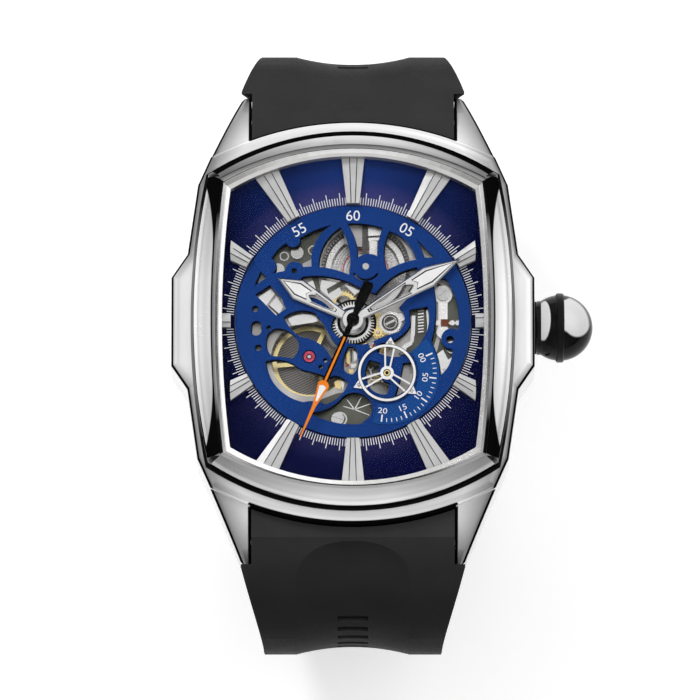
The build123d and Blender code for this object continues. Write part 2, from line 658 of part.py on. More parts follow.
CANNON_MODULE = 2 * MOTION_DISTANCE / (CANNON_TEETH + MINUTE_WHEEL_TEETH)
HOUR_MODULE = 2 * MOTION_DISTANCE / (MINUTE_PINION_TEETH + HOUR_TEETH)
CROWN_WHEEL_DISTANCE = (RATCHET_TEETH + CROWN_WHEEL_TEETH) * RATCHET_MODULE / 2
CROWN_WHEEL_X = BARREL_X + sqrt(CROWN_WHEEL_DISTANCE ** 2 - BARREL_Y ** 2)
CROWN_WHEEL_Y = 0.0
CROWN_WHEEL_ANGLE = degrees(atan2(-BARREL_Y, CROWN_WHEEL_X - BARREL_X))
RATCHET_TIP_R = RATCHET_TEETH * RATCHET_MODULE / 2 + RATCHET_MODULE
RATCHET_Z = BRIDGE_Z - RUN_CLEAR - WINDING_WHEEL_T

FLAT_Y = STRAP_START_Y + STRAP_SIDE_R * (1 - sin(radians(STRAP_START_ANGLE))) - STRAP_LOWER_R
FLAT_Z = STRAP_START_Z - STRAP_SIDE_R * cos(radians(STRAP_START_ANGLE)) - STRAP_LOWER_R
BASE_Z = FLAT_Z - BASE_DROP

# Phases of the teeth
CENTRE_PHASE = 0.0
CENTRE_PINION_PHASE = BARREL_ANGLE
BARREL_PHASE = meshed_phase(CENTRE_PINION_PHASE, CENTRE_PINION_TEETH, BARREL_ANGLE, BARREL_TEETH)
THIRD_PINION_PHASE = meshed_phase(CENTRE_PHASE, CENTRE_TEETH, THIRD_ANGLE, THIRD_PINION_TEETH)
THIRD_PHASE = 0.0
SECONDS_PHASE = meshed_phase(THIRD_PHASE, THIRD_TEETH, THIRD_ANGLE + 180, FOURTH_PINION_TEETH)
FOURTH_PINION_PHASE = meshed_phase(THIRD_PHASE, THIRD_TEETH, FOURTH_FROM_THIRD_ANGLE, FOURTH_PINION_TEETH)
FOURTH_PHASE = 0.0
ESCAPE_PINION_PHASE = meshed_phase(FOURTH_PHASE, FOURTH_TEETH, ESCAPE_FROM_FOURTH_ANGLE, ESCAPE_PINION_TEETH)
CANNON_PHASE = 0.0
MINUTE_WHEEL_PHASE = meshed_phase(CANNON_PHASE, CANNON_TEETH, MOTION_ANGLE, MINUTE_WHEEL_TEETH)
MINUTE_PINION_PHASE = 0.0
HOUR_PHASE = meshed_phase(MINUTE_PINION_PHASE, MINUTE_PINION_TEETH, MOTION_ANGLE + 180, HOUR_TEETH)
RATCHET_PHASE = 0.0
CROWN_WHEEL_PHASE = meshed_phase(RATCHET_PHASE, RATCHET_TEETH, CROWN_WHEEL_ANGLE, CROWN_WHEEL_TEETH)


def end_wall():
    # disc whose edge is the curved end of the case between the lugs
    end_r = (SLOT_HALF_X ** 2 + END_SAG ** 2) / (2 * END_SAG)
    upper = Pos(0, END_Y - end_r) * Circle(end_r)
    lower = Pos(0, end_r - END_Y) * Circle(end_r)
    return upper & lower


def case_outline():
    right = [
        (TIP_X - TIP_DROP_Y, TIP_Y), (TIP_X, TIP_Y - TIP_DROP_Y), (FLANK_X, FLANK_Y), (SHOULDER_X, SHOULDER_Y),
        (BUMP_HALF_X, BUMP_HALF_Y), (BUMP_HALF_X, -BUMP_HALF_Y), (SHOULDER_X, -SHOULDER_Y),
        (FLANK_X, -FLANK_Y), (TIP_X, TIP_DROP_Y - TIP_Y), (TIP_X - TIP_DROP_Y, -TIP_Y)]
    left = [(-x, y) for x, y in reversed(right)]
    return polygon(right + left)


def lug_profile():
    # side view of the lugs in the YZ plane
    def side(sign):
        edges = [
            Line((0, sign * 0, LUG_START_Z), (0, sign * LUG_START_Y, LUG_START_Z)),
            ThreePointArc(
                (0, sign * LUG_START_Y, LUG_START_Z), (0, sign * LUG_MID_Y, LUG_MID_Z),
                (0, sign * TIP_Y, LUG_TIP_TOP_Z)),
            Line((0, sign * TIP_Y, LUG_TIP_TOP_Z), (0, sign * TIP_Y, LUG_TIP_LOW_Z)),
            ThreePointArc(
                (0, sign * TIP_Y, LUG_TIP_LOW_Z), (0, sign * LUG_UNDER_MID_Y, LUG_UNDER_MID_Z),
                (0, sign * LUG_UNDER_Y, CASE_BOTTOM_Z)),
            Line((0, sign * LUG_UNDER_Y, CASE_BOTTOM_Z), (0, 0, CASE_BOTTOM_Z)),
            Line((0, 0, CASE_BOTTOM_Z), (0, 0, LUG_START_Z))]
        return make_face(edges)
    return prism_x(side(1), BUMP_HALF_X + CUT_OVERRUN) + prism_x(side(-1), BUMP_HALF_X + CUT_OVERRUN)


def case_middle():
    outline = case_outline()
    body = prism(outline & end_wall(), CASE_BOTTOM_Z, CASE_TOP_Z)
    rim = body.faces().sort_by(Axis.Z)[-1].edges()
    body = fillet(rim, CASE_EDGE)
    lugs = prism(outline, LUG_TIP_LOW_Z - CUT_OVERRUN, CASE_TOP_Z) & lug_profile()
    lugs -= prism(end_wall(), CASE_TOP_Z - CASE_EDGE, CASE_TOP_Z + CUT_OVERRUN)
    slot_length = TIP_Y + CUT_OVERRUN
    slots = block(-SLOT_HALF_X, SLOT_HALF_X, -slot_length, slot_length, -CASE_TOP_Z, CASE_TOP_Z + CUT_OVERRUN)
    slots -= prism(end_wall(), -CASE_TOP_Z - CUT_OVERRUN, CASE_TOP_Z + CUT_OVERRUN + CUT_OVERRUN)
    case = body + (lugs - slots)
    case -= prism(grown_aperture(DIAL_MARGIN + SEAT_CLEAR), DIAL_FLOOR_Z, CASE_TOP_Z + CUT_OVERRUN)
    case -= rod(CAVITY_R, CAVITY_Z - CUT_OVERRUN, CASE_TOP_Z)
    case -= rod(BACK_R + RUN_CLEAR, -CUT_OVERRUN, BACK_T)
    case -= rod_x(TUBE_R, CAVITY_R - CUT_OVERRUN, BUMP_HALF_X + CUT_OVERRUN, 0, STEM_Z)
    for sign in (1, -1):
        bar_hole = BAR_R + SEAT_CLEAR
        case -= rod_x(bar_hole, -STRAP_SHOULDER_HALF_W + SCREW_SLOT_W, STRAP_SHOULDER_HALF_W - SCREW_SLOT_W,
                      sign * BAR_Y, BAR_Z)
    for i in range(BACK_SCREW_COUNT):
        x, y = polar(BACK_SCREW_PITCH_R, BACK_SCREW_START + i * 360 / BACK_SCREW_COUNT)
        case -= rod(SCREW_SHANK_R + SEAT_CLEAR, 0, BACK_T + BACK_T + RUN_CLEAR, x, y)
    lug_edges = [edge for edge in case.edges() if abs(edge.center().Y) > LUG_MID_Y
                 and abs(edge.center().X) > TIP_X + LUG_TIP_W and edge.center().Z > LUG_TIP_TOP_Z]
    return fillet(lug_edges, LUG_EDGE)


def bezel_outline():
    return tonneau(BEZEL_X, BEZEL_CORNER_X, BEZEL_CORNER_Y, BEZEL_Y)


def bezel_blank():
    solid = prism(bezel_outline(), CASE_TOP_Z, BEZEL_TOP_Z)
    top_edges = solid.faces().sort_by(Axis.Z)[-1].edges()
    return fillet(top_edges, BEZEL_ROUND)


def corner_inlays():
    # black wedges let into the four mitres of the bezel
    inner_x = APERTURE_CORNER_X + CRYSTAL_MARGIN + GASKET_T + GAP_CLEAR
    inner_y = APERTURE_CORNER_Y + CRYSTAL_MARGIN + GASKET_T + GAP_CLEAR
    angle = degrees(atan2(BEZEL_CORNER_Y - inner_y, BEZEL_CORNER_X - inner_x))
    length = hypot(BEZEL_CORNER_Y - inner_y, BEZEL_CORNER_X - inner_x)
    wedge = polygon([
        (0, -INLAY_INNER_W / 2), (length, -INLAY_W / 2), (length, INLAY_W / 2), (0, INLAY_INNER_W / 2)])
    wedges = []
    for sign_x, sign_y, turn in ((1, 1, angle), (-1, 1, 180 - angle), (-1, -1, 180 + angle), (1, -1, -angle)):
        placed = Pos(sign_x * inner_x, sign_y * inner_y) * Rot(0, 0, turn) * wedge
        wedges.append(prism(placed, CASE_TOP_Z + BEZEL_ROUND - INLAY_DEPTH, BEZEL_TOP_Z + CUT_OVERRUN))
    return wedges


def bezel_and_inlays():
    blank = bezel_blank()
    opening = prism(grown_aperture(0), CASE_TOP_Z - CUT_OVERRUN, BEZEL_TOP_Z + CUT_OVERRUN)
    seat = grown_aperture(CRYSTAL_MARGIN + GASKET_T + SEAT_CLEAR)
    recess = prism(seat, BEZEL_LIP_Z, BEZEL_TOP_Z + CUT_OVERRUN)
    whole = blank - opening - recess
    core = Pos(0, 0, -INLAY_DEPTH) * blank
    inlays = []
    for wedge in corner_inlays():
        inlay = (wedge & whole) - core
        inlays.extend(inlay.solids())
        whole -= wedge - core
    return whole, Compound(children=inlays)


def crystal():
    face = grown_aperture(CRYSTAL_MARGIN)
    glass = prism(face, BEZEL_LIP_Z, BEZEL_LIP_Z + CRYSTAL_T)
    return chamfer(glass.faces().sort_by(Axis.Z)[-1].edges(), INDEX_BEVEL)


def crystal_gasket():
    outer = grown_aperture(CRYSTAL_MARGIN + GASKET_T)
    inner = grown_aperture(CRYSTAL_MARGIN + SEAT_CLEAR)
    return prism(outer - inner, BEZEL_LIP_Z, BEZEL_LIP_Z + CRYSTAL_T - INDEX_BEVEL)


def dial_plate():
    plate = prism(grown_aperture(DIAL_MARGIN), DIAL_FLOOR_Z, DIAL_EDGE_Z)
    reach = APERTURE_Y + DIAL_MARGIN + CUT_OVERRUN
    slope = polygon([
        (0, DIAL_RING_Z), (DIAL_HOLE_R, DIAL_RING_Z), (reach, DIAL_EDGE_Z),
        (reach, DIAL_EDGE_Z + CUT_OVERRUN), (0, DIAL_EDGE_Z + CUT_OVERRUN)])
    dish = revolve(Rot(90, 0, 0) * slope, Axis.Z)
    plate -= dish
    plate -= rod(DIAL_HOLE_R, DIAL_FLOOR_Z - CUT_OVERRUN, DIAL_EDGE_Z + CUT_OVERRUN)
    return plate


def hour_indexes(plate):
    inside = prism(grown_aperture(-INDEX_GAP), DIAL_RING_Z, INDEX_TOP_Z)
    bars = []
    for hour in range(12):
        angle = 90 - hour * 30
        if hour in (3, 9):
            x0 = APERTURE_X - INDEX_GAP - SIDE_INDEX_L
            face = polygon([
                (x0, -SIDE_INDEX_W / 2), (x0 + SIDE_INDEX_L, -SIDE_INDEX_W / 2),
                (x0 + SIDE_INDEX_L, SIDE_INDEX_W / 2), (x0, SIDE_INDEX_W / 2)])
        else:
            reach = APERTURE_Y + CUT_OVERRUN
            face = polygon([
                (INDEX_INNER_R, -INDEX_INNER_W / 2), (reach, -INDEX_OUTER_W / 2),
                (reach, INDEX_OUTER_W / 2), (INDEX_INNER_R, INDEX_INNER_W / 2)])
        bar = prism(Rot(0, 0, angle) * face, DIAL_RING_Z, INDEX_TOP_Z) & inside
        top = bar.faces().sort_by(Axis.Z)[-1]
        bar = chamfer(top.edges(), INDEX_BEVEL)
        bars.extend((bar - plate).solids())
    return Compound(children=bars)


def dial_lattice():
    face = Circle(LATTICE_R)
    for window in WINDOWS:
        face -= arc_outline(scaled(window, LATTICE_R))
    for x, y, r in HOLE_SHARES:
        face -= Pos(x * LATTICE_R, y * LATTICE_R) * Circle(r * LATTICE_R)
    face -= Pos(BARREL_X, BARREL_Y) * Circle(BALANCE_STAFF_R + STAFF_R)
    smile_r = SMILE_R_SHARE * LATTICE_R
    smile_w = SMILE_W_SHARE * LATTICE_R
    smile = Circle(smile_r + smile_w / 2) - Circle(smile_r - smile_w / 2)
    smile &= sector(smile_r + smile_w, *SMILE_ANGLES)
    face -= Pos(BARREL_X, BARREL_Y) * smile
    face -= Pos(BALANCE_X, BALANCE_Y) * Circle(JEWEL_R)
    face += Pos(FOURTH_X, FOURTH_Y) * Circle(SUB_HUB_R)
    face -= Pos(FOURTH_X, FOURTH_Y) * Circle(SUB_TUBE_R + RUN_CLEAR)
    solid = prism(face, LATTICE_Z, LATTICE_Z + LATTICE_T)
    return solid


def seconds_scale():
    fan = Circle(SCALE_OUTER_R) - Circle(SCALE_INNER_R)
    fan &= sector(SCALE_OUTER_R + CUT_OVERRUN, SCALE_START_ANGLE, SCALE_END_ANGLE)
    fan = Pos(FOURTH_X, FOURTH_Y) * fan
    for window in (CRESCENT_SHARES, BOTTOM_SHARES, KEYLESS_SHARES):
        fan -= arc_outline(scaled(window, LATTICE_R))
    pieces = prism(fan, LATTICE_Z + LATTICE_T, LATTICE_Z + LATTICE_T + SCALE_T).solids()
    return max(pieces, key=lambda piece: piece.volume)


def main_plate():
    face = Circle(PLATE_R)
    face -= Pos(BARREL_X, BARREL_Y) * Circle(BARREL_R)
    balance_hole = Pos(BALANCE_X, BALANCE_Y) * Circle(BALANCE_R + GAP_CLEAR)
    balance_hole -= bar_face(PALLET_X, PALLET_Y, ESCAPE_X, ESCAPE_Y, PALLET_BRIDGE_W)
    balance_hole -= Pos(PALLET_X, PALLET_Y) * Circle(BALANCE_ARM_W)
    face -= balance_hole
    face -= arc_outline(scaled(SUB_LEFT_SHARES, LATTICE_R))
    face -= Circle(CENTRE_TUBE_R + RUN_CLEAR)
    for x, y in ((THIRD_X, THIRD_Y), (ESCAPE_X, ESCAPE_Y), (PALLET_X, PALLET_Y)):
        face -= Pos(x, y) * Circle(JEWEL_SMALL_R)
    face -= Pos(FOURTH_X, FOURTH_Y) * Circle(SUB_TUBE_R + RUN_CLEAR)
    plate = prism(face, PLATE_Z, PLATE_Z + PLATE_T)
    return plate + rod(PIVOT_R, PLATE_Z, LATTICE_Z - RUN_CLEAR, MOTION_X, MOTION_Y)


def plate_jewels():
    jewels = [ring(JEWEL_R, BALANCE_STAFF_R + RUN_CLEAR, LATTICE_Z, LATTICE_Z + JEWEL_T, BALANCE_X, BALANCE_Y)]
    for x, y in ((THIRD_X, THIRD_Y), (ESCAPE_X, ESCAPE_Y), (PALLET_X, PALLET_Y)):
        jewels.append(ring(JEWEL_SMALL_R, PIVOT_R + RUN_CLEAR, PLATE_Z, PLATE_Z + PLATE_T, x, y))
        jewels.append(ring(JEWEL_SMALL_R, PIVOT_R + RUN_CLEAR, BRIDGE_Z, BRIDGE_Z + BRIDGE_T, x, y))
    return jewels


def bridge_wall(angles):
    wall = (Circle(PLATE_R) - Circle(PLATE_R - BRIDGE_WALL)) & sector(PLATE_R + CUT_OVERRUN, *angles)
    return prism(wall, BRIDGE_Z, PLATE_Z)


def barrel_bridge():
    face = Circle(PLATE_R) & sector(PLATE_R + CUT_OVERRUN, *BARREL_BRIDGE_ANGLES)
    face -= Circle(HUB_R + HUB_R)
    face -= Pos(BARREL_X, BARREL_Y) * Circle(BARREL_HUB_R + RUN_CLEAR)
    bridge = prism(face, BRIDGE_Z, BRIDGE_Z + BRIDGE_T)
    for angles in BARREL_WALL_ANGLES:
        bridge += bridge_wall(angles)
    click_x, click_y = click_place()
    bridge += rod(SCREW_SHANK_R, RATCHET_Z, BRIDGE_Z, click_x, click_y)
    return bridge - rod_x(WINDING_R + GAP_CLEAR, STEM_INNER_X - GAP_CLEAR, PLATE_R + CUT_OVERRUN, 0, STEM_Z)


def train_bridge():
    face = Circle(PLATE_R) & sector(PLATE_R + CUT_OVERRUN, *TRAIN_BRIDGE_ANGLES)
    face -= Pos(BALANCE_X, BALANCE_Y) * Circle(BALANCE_R + GAP_CLEAR)
    face += Circle(HUB_R + HUB_R - GAP_CLEAR)
    face -= Circle(SECONDS_ARBOR_R + RUN_CLEAR)
    for x, y in ((THIRD_X, THIRD_Y), (ESCAPE_X, ESCAPE_Y)):
        face -= Pos(x, y) * Circle(JEWEL_SMALL_R)
    face -= Pos(FOURTH_X, FOURTH_Y) * Circle(PIVOT_R + RUN_CLEAR)
    face -= Pos(CROWN_WHEEL_X, CROWN_WHEEL_Y) * Circle(SCREW_SHANK_R)
    bridge = prism(face, BRIDGE_Z, BRIDGE_Z + BRIDGE_T)
    bridge += bridge_wall(TRAIN_WALL_ANGLES)
    bridge -= rod_x(WINDING_R + GAP_CLEAR, STEM_INNER_X - GAP_CLEAR, PLATE_R + CUT_OVERRUN, 0, STEM_Z)
    return bridge


def balance_cock():
    cock_w = BRIDGE_WALL * COCK_W_SHARE
    foot_x, foot_y = polar(PLATE_R - BRIDGE_WALL, sum(COCK_ANGLES) / 2)
    face = bar_face(BALANCE_X, BALANCE_Y, foot_x, foot_y, cock_w)
    face += Pos(BALANCE_X, BALANCE_Y) * Circle(cock_w / 2)
    foot = (Circle(PLATE_R) - Circle(PLATE_R - cock_w)) & sector(PLATE_R + CUT_OVERRUN, *COCK_ANGLES)
    face += foot
    face &= Circle(PLATE_R)
    face -= Pos(BALANCE_X, BALANCE_Y) * Circle(BALANCE_STAFF_R + RUN_CLEAR)
    cock = prism(face, BRIDGE_Z, BRIDGE_Z + COCK_T)
    return cock + bridge_wall(COCK_ANGLES)


def pallet_bridge():
    # cantilever under the lever, hung from the plate by one post
    along_x, along_y = polar(-POST_ALONG, BALANCE_ANGLE, PALLET_X, PALLET_Y)
    post_x, post_y = polar(POST_ACROSS, BALANCE_ANGLE + 90, along_x, along_y)
    face = bar_face(PALLET_X, PALLET_Y, post_x, post_y, PALLET_BRIDGE_W)
    face += Pos(PALLET_X, PALLET_Y) * Circle(BALANCE_ARM_W)
    face += Pos(post_x, post_y) * Circle(POST_R)
    face -= Pos(PALLET_X, PALLET_Y) * Circle(PIVOT_R + RUN_CLEAR)
    low = BALANCE_Z + BALANCE_RIM_T + GAP_CLEAR
    return prism(face, low, low + WHEEL_T + WHEEL_T) + rod(POST_R, low, PLATE_Z, post_x, post_y)


def slotted_screw(x, y, z, up, angle):
    # head on the side that up points to
    head = rod(SCREW_R, min(z, z + up * SCREW_HEAD_H), max(z, z + up * SCREW_HEAD_H), x, y)
    slot_z = z + up * (SCREW_HEAD_H - SCREW_SLOT_DEPTH)
    slot_end = z + up * (SCREW_HEAD_H + CUT_OVERRUN)
    slot = bar_face(*polar(-SCREW_R - CUT_OVERRUN, angle, x, y), *polar(SCREW_R + CUT_OVERRUN, angle, x, y),
                    SCREW_SLOT_W)
    return head - prism(slot, min(slot_z, slot_end), max(slot_z, slot_end))


# Plate screws: angle, and distance from the middle as a share of the plate radius
PLATE_SCREW_SHARES = [(128, 0.775), (144, 0.79), (-14, 0.87), (-30, 0.90), (-99, 0.84)]


def bridge_screws():
    screws = []
    for angle, share in PLATE_SCREW_SHARES:
        x, y = polar(share * PLATE_R, angle)
        screws.append(slotted_screw(x, y, PLATE_Z + PLATE_T, 1, angle + angle))
    lever_top = PLATE_Z + PLATE_T + RUN_CLEAR + WINDING_WHEEL_T + RUN_CLEAR
    pivot = slotted_screw(LEVER_X, LEVER_Y, lever_top, 1, LEVER_SCREW_TURN)
    screws.append(pivot + rod(SCREW_SHANK_R, PLATE_Z + PLATE_T, lever_top, LEVER_X, LEVER_Y))
    return screws


def movement_holder():
    holder = ring(HOLDER_R, PLATE_R + SEAT_CLEAR, HOLDER_Z, HOLDER_TOP_Z)
    return holder - rod_x(TUBE_R, PLATE_R - CUT_OVERRUN, HOLDER_R + CUT_OVERRUN, 0, STEM_Z)


def case_back():
    back = ring(BACK_R, BACK_GLASS_R + SEAT_CLEAR, 0, BACK_T)
    back += ring(BACK_NECK_R, BACK_GLASS_R + SEAT_CLEAR, BACK_T, BACK_T + BACK_NECK_T)
    for i in range(BACK_SCREW_COUNT):
        x, y = polar(BACK_SCREW_PITCH_R, BACK_SCREW_START + i * 360 / BACK_SCREW_COUNT)
        back -= rod(SCREW_R + SEAT_CLEAR, -CUT_OVERRUN, SCREW_HEAD_H, x, y)
        back -= rod(SCREW_SHANK_R + SEAT_CLEAR, 0, BACK_T + CUT_OVERRUN, x, y)
    return back


def case_back_screws():
    screws = []
    for i in range(BACK_SCREW_COUNT):
        angle = BACK_SCREW_START + i * 360 / BACK_SCREW_COUNT
        x, y = polar(BACK_SCREW_PITCH_R, angle)
        screw = slotted_screw(x, y, SCREW_HEAD_H, -1, angle)
        screws.append(screw + rod(SCREW_SHANK_R, SCREW_HEAD_H, BACK_T + BACK_T, x, y))
    return screws


def barrel_drum():
    teeth = gear_face(BARREL_TEETH, BARREL_MODULE, BARREL_PHASE, BARREL_X, BARREL_Y)
    drum = prism(teeth, BARREL_TEETH_Z, BARREL_TEETH_Z + BARREL_TEETH_T)
    drum += rod(BARREL_R - GAP_CLEAR, BARREL_Z, BARREL_TOP_Z, BARREL_X, BARREL_Y)
    drum -= rod(BARREL_R - GAP_CLEAR - BARREL_WALL, BARREL_Z + BARREL_FLOOR_T, BARREL_TOP_Z + CUT_OVERRUN,
                BARREL_X, BARREL_Y)
    drum -= rod(BARREL_HUB_R + RUN_CLEAR, BARREL_Z - CUT_OVERRUN, BARREL_TOP_Z, BARREL_X, BARREL_Y)
    return drum


def barrel_arbor():
    arbor = rod(BARREL_HUB_R, BRIDGE_Z, BARREL_TOP_Z, BARREL_X, BARREL_Y)
    arbor += rod(STAFF_R + BALANCE_STAFF_R - RUN_CLEAR, BARREL_TOP_Z, LATTICE_Z + LATTICE_T, BARREL_X, BARREL_Y)
    return arbor


def mainspring():
    outer = []
    inner = []
    half = MAINSPRING_STRIP / 2
    r = MAINSPRING_START_R
    centre = BARREL_X
    side = 1
    for i in range(2 * MAINSPRING_LOOPS):
        outer.append(ThreePointArc(
            (centre + side * (r + half), BARREL_Y), (centre, BARREL_Y + side * (r + half)),
            (centre - side * (r + half), BARREL_Y)))
        inner.append(ThreePointArc(
            (centre + side * (r - half), BARREL_Y), (centre, BARREL_Y + side * (r - half)),
            (centre - side * (r - half), BARREL_Y)))
        centre = centre + side * MAINSPRING_PITCH / 4
        r = r + MAINSPRING_PITCH / 4
        side = -side
    start = Line(inner[0] @ 0, outer[0] @ 0)
    end = Line(inner[-1] @ 1, outer[-1] @ 1)
    face = make_face(outer + inner + [start, end])
    low = BARREL_Z + BARREL_FLOOR_T + RUN_CLEAR
    print("mainspring least gap to itself", MAINSPRING_PITCH - MAINSPRING_STRIP)
    return prism(face, low, low + MAINSPRING_H)


def hairspring():
    edges = []
    r = HAIRSPRING_START_R
    centre = BALANCE_X
    side = 1
    for i in range(2 * HAIRSPRING_LOOPS):
        edges.append(ThreePointArc(
            (centre + side * r, BALANCE_Y, HAIRSPRING_Z), (centre, BALANCE_Y + side * r, HAIRSPRING_Z),
            (centre - side * r, BALANCE_Y, HAIRSPRING_Z)))
        centre = centre + side * HAIRSPRING_PITCH / 4
        r = r + HAIRSPRING_PITCH / 4
        side = -side
    path = Wire(edges)
    start = path @ 0
    profile = Plane(origin=start, z_dir=path % 0) * Circle(HAIRSPRING_WIRE / 2)
    spring = sweep(profile, path=path)
    end = path @ 1
    stud = rod(HAIRSPRING_STUD_R, BRIDGE_Z + COCK_T, HAIRSPRING_Z + HAIRSPRING_WIRE, end.X, end.Y)
    print("hairspring least gap to itself", HAIRSPRING_PITCH - HAIRSPRING_WIRE)
    return spring + stud


def centre_wheel():
    wheel = spoked_wheel(CENTRE_TEETH, CENTRE_MODULE, CENTRE_PHASE, CENTRE_WHEEL_Z, 0, 0, 4, 45)
    pinion = gear_face(CENTRE_PINION_TEETH, BARREL_MODULE, CENTRE_PINION_PHASE)
    wheel += prism(pinion, CENTRE_PINION_Z, CENTRE_PINION_TOP_Z)
    wheel += rod(HUB_R, CENTRE_PINION_TOP_Z, CENTRE_WHEEL_Z + WHEEL_T + WHEEL_T)
    wheel += rod(CENTRE_TUBE_R, CENTRE_PINION_Z, CANNON_TOP_Z - GAP_CLEAR)
    return wheel - rod(CENTRE_BORE_R, 0, BEZEL_TOP_Z)


def cannon_pinion():
    pinion = prism(gear_face(CANNON_TEETH, CANNON_MODULE, CANNON_PHASE), CANNON_Z, CANNON_Z + CANNON_PINION_H)
    pinion += rod(CANNON_TUBE_R, CANNON_Z, CANNON_TOP_Z)
    return pinion - rod(CENTRE_TUBE_R, 0, BEZEL_TOP_Z)


def minute_wheel():
    wheel = spoked_wheel(
        MINUTE_WHEEL_TEETH, CANNON_MODULE, MINUTE_WHEEL_PHASE, MINUTE_WHEEL_Z, MOTION_X, MOTION_Y, 4, 0)
    pinion = gear_face(MINUTE_PINION_TEETH, HOUR_MODULE, MINUTE_PINION_PHASE, MOTION_X, MOTION_Y)
    wheel += prism(pinion, MINUTE_WHEEL_Z, HOUR_WHEEL_Z + WHEEL_T + RUN_CLEAR)
    wheel -= rod(PIVOT_R + RUN_CLEAR, 0, BEZEL_TOP_Z, MOTION_X, MOTION_Y)
    return wheel


def hour_wheel():
    face = gear_face(HOUR_TEETH, HOUR_MODULE, HOUR_PHASE)
    wheel = prism(face, HOUR_WHEEL_Z, HOUR_WHEEL_Z + WHEEL_T)
    wheel += rod(HOUR_TUBE_R, HOUR_WHEEL_Z, HOUR_TUBE_TOP_Z)
    return wheel - rod(CANNON_TUBE_R + RUN_CLEAR, 0, BEZEL_TOP_Z)


def third_wheel():
    wheel = spoked_wheel(THIRD_TEETH, THIRD_MODULE, THIRD_PHASE, THIRD_WHEEL_Z, THIRD_X, THIRD_Y, 4, 20)
    pinion = gear_face(THIRD_PINION_TEETH, CENTRE_MODULE, THIRD_PINION_PHASE, THIRD_X, THIRD_Y)
    wheel += prism(pinion, CENTRE_WHEEL_Z - GAP_CLEAR, CENTRE_WHEEL_Z + PINION_H)
    wheel += rod(STAFF_R, THIRD_WHEEL_Z, CENTRE_WHEEL_Z + PINION_H, THIRD_X, THIRD_Y)
    wheel += rod(PIVOT_R, ARBOR_LOW_Z, ARBOR_TOP_Z, THIRD_X, THIRD_Y)
    return wheel


def seconds_pinion():
    pinion = gear_face(FOURTH_PINION_TEETH, THIRD_MODULE, SECONDS_PHASE)
    solid = prism(pinion, THIRD_WHEEL_Z - GAP_CLEAR, THIRD_WHEEL_Z + WHEEL_T + GAP_CLEAR - RUN_CLEAR)
    return solid + rod(SECONDS_ARBOR_R, BRIDGE_Z, SECONDS_HAND_Z + SECONDS_HAND_T)


def fourth_wheel():
    wheel = spoked_wheel(
        FOURTH_TEETH, FOURTH_MODULE, FOURTH_PHASE, FOURTH_WHEEL_Z, FOURTH_X, FOURTH_Y, 4, 10)
    pinion = gear_face(FOURTH_PINION_TEETH, THIRD_MODULE, FOURTH_PINION_PHASE, FOURTH_X, FOURTH_Y)
    wheel += prism(pinion, THIRD_WHEEL_Z - GAP_CLEAR, THIRD_WHEEL_Z + PINION_H)
    wheel += rod(STAFF_R, THIRD_WHEEL_Z, PLATE_Z - GAP_CLEAR, FOURTH_X, FOURTH_Y)
    wheel += rod(PIVOT_R, ARBOR_LOW_Z, PLATE_Z, FOURTH_X, FOURTH_Y)
    wheel += rod(SUB_TUBE_R, PLATE_Z - GAP_CLEAR, SUB_HAND_Z + SUB_HAND_T, FOURTH_X, FOURTH_Y)
    return wheel


def escape_wheel():
    points = []
    for i in range(ESCAPE_TEETH):
        angle = i * 360 / ESCAPE_TEETH
        points.append(polar(ESCAPE_ROOT_R, angle, ESCAPE_X, ESCAPE_Y))
        points.append(polar(ESCAPE_R, angle + ESCAPE_TIP_ANGLES[0], ESCAPE_X, ESCAPE_Y))
        points.append(polar(ESCAPE_R, angle + ESCAPE_TIP_ANGLES[1], ESCAPE_X, ESCAPE_Y))
        points.append(polar(ESCAPE_ROOT_R, angle + ESCAPE_HEEL_ANGLE, ESCAPE_X, ESCAPE_Y))
    face = spoked(polygon(points), HUB_R / 2, ESCAPE_ROOT_R - RIM_W / 2, SPOKE_W / 2, 4, 0, ESCAPE_X, ESCAPE_Y)
    wheel = prism(face, ESCAPE_WHEEL_Z, ESCAPE_WHEEL_Z + WHEEL_T)
    pinion = gear_face(ESCAPE_PINION_TEETH, FOURTH_MODULE, ESCAPE_PINION_PHASE, ESCAPE_X, ESCAPE_Y)
    wheel += prism(pinion, FOURTH_WHEEL_Z - GAP_CLEAR, ESCAPE_WHEEL_Z)
    return wheel + rod(PIVOT_R, ARBOR_LOW_Z, ARBOR_TOP_Z, ESCAPE_X, ESCAPE_Y)


def pallet_fork():
    # lever from the stones near the escape wheel to the horns near the balance
    angle = BALANCE_ANGLE
    lever_l = hypot(BALANCE_X - PALLET_X, BALANCE_Y - PALLET_Y) - ROLLER_R - BALANCE_ARM_W
    face = bar_face(PALLET_X, PALLET_Y, *polar(lever_l, angle, PALLET_X, PALLET_Y), PALLET_ARM_W)
    face += Pos(PALLET_X, PALLET_Y) * Circle(PALLET_ARM_W)
    horn = Pos(*polar(lever_l, angle, PALLET_X, PALLET_Y)) * Rot(0, 0, angle) * Rectangle(
        BALANCE_ARM_W, BALANCE_ARM_W * 2)
    notch = Pos(*polar(lever_l + BALANCE_ARM_W / 2, angle, PALLET_X, PALLET_Y)) * Rot(0, 0, angle) * Rectangle(
        BALANCE_ARM_W, BALANCE_ARM_W)
    face += horn - notch
    for sign in (1, -1):
        end = stone_place(sign)
        face += bar_face(PALLET_X, PALLET_Y, *end, PALLET_ARM_W)
        face += Pos(*end) * Circle(PALLET_ARM_W)
    fork = prism(face, ESCAPE_WHEEL_Z - RUN_CLEAR, ESCAPE_WHEEL_Z - RUN_CLEAR + PALLET_T)
    return fork + rod(PIVOT_R, FOURTH_WHEEL_Z, ARBOR_TOP_Z, PALLET_X, PALLET_Y)


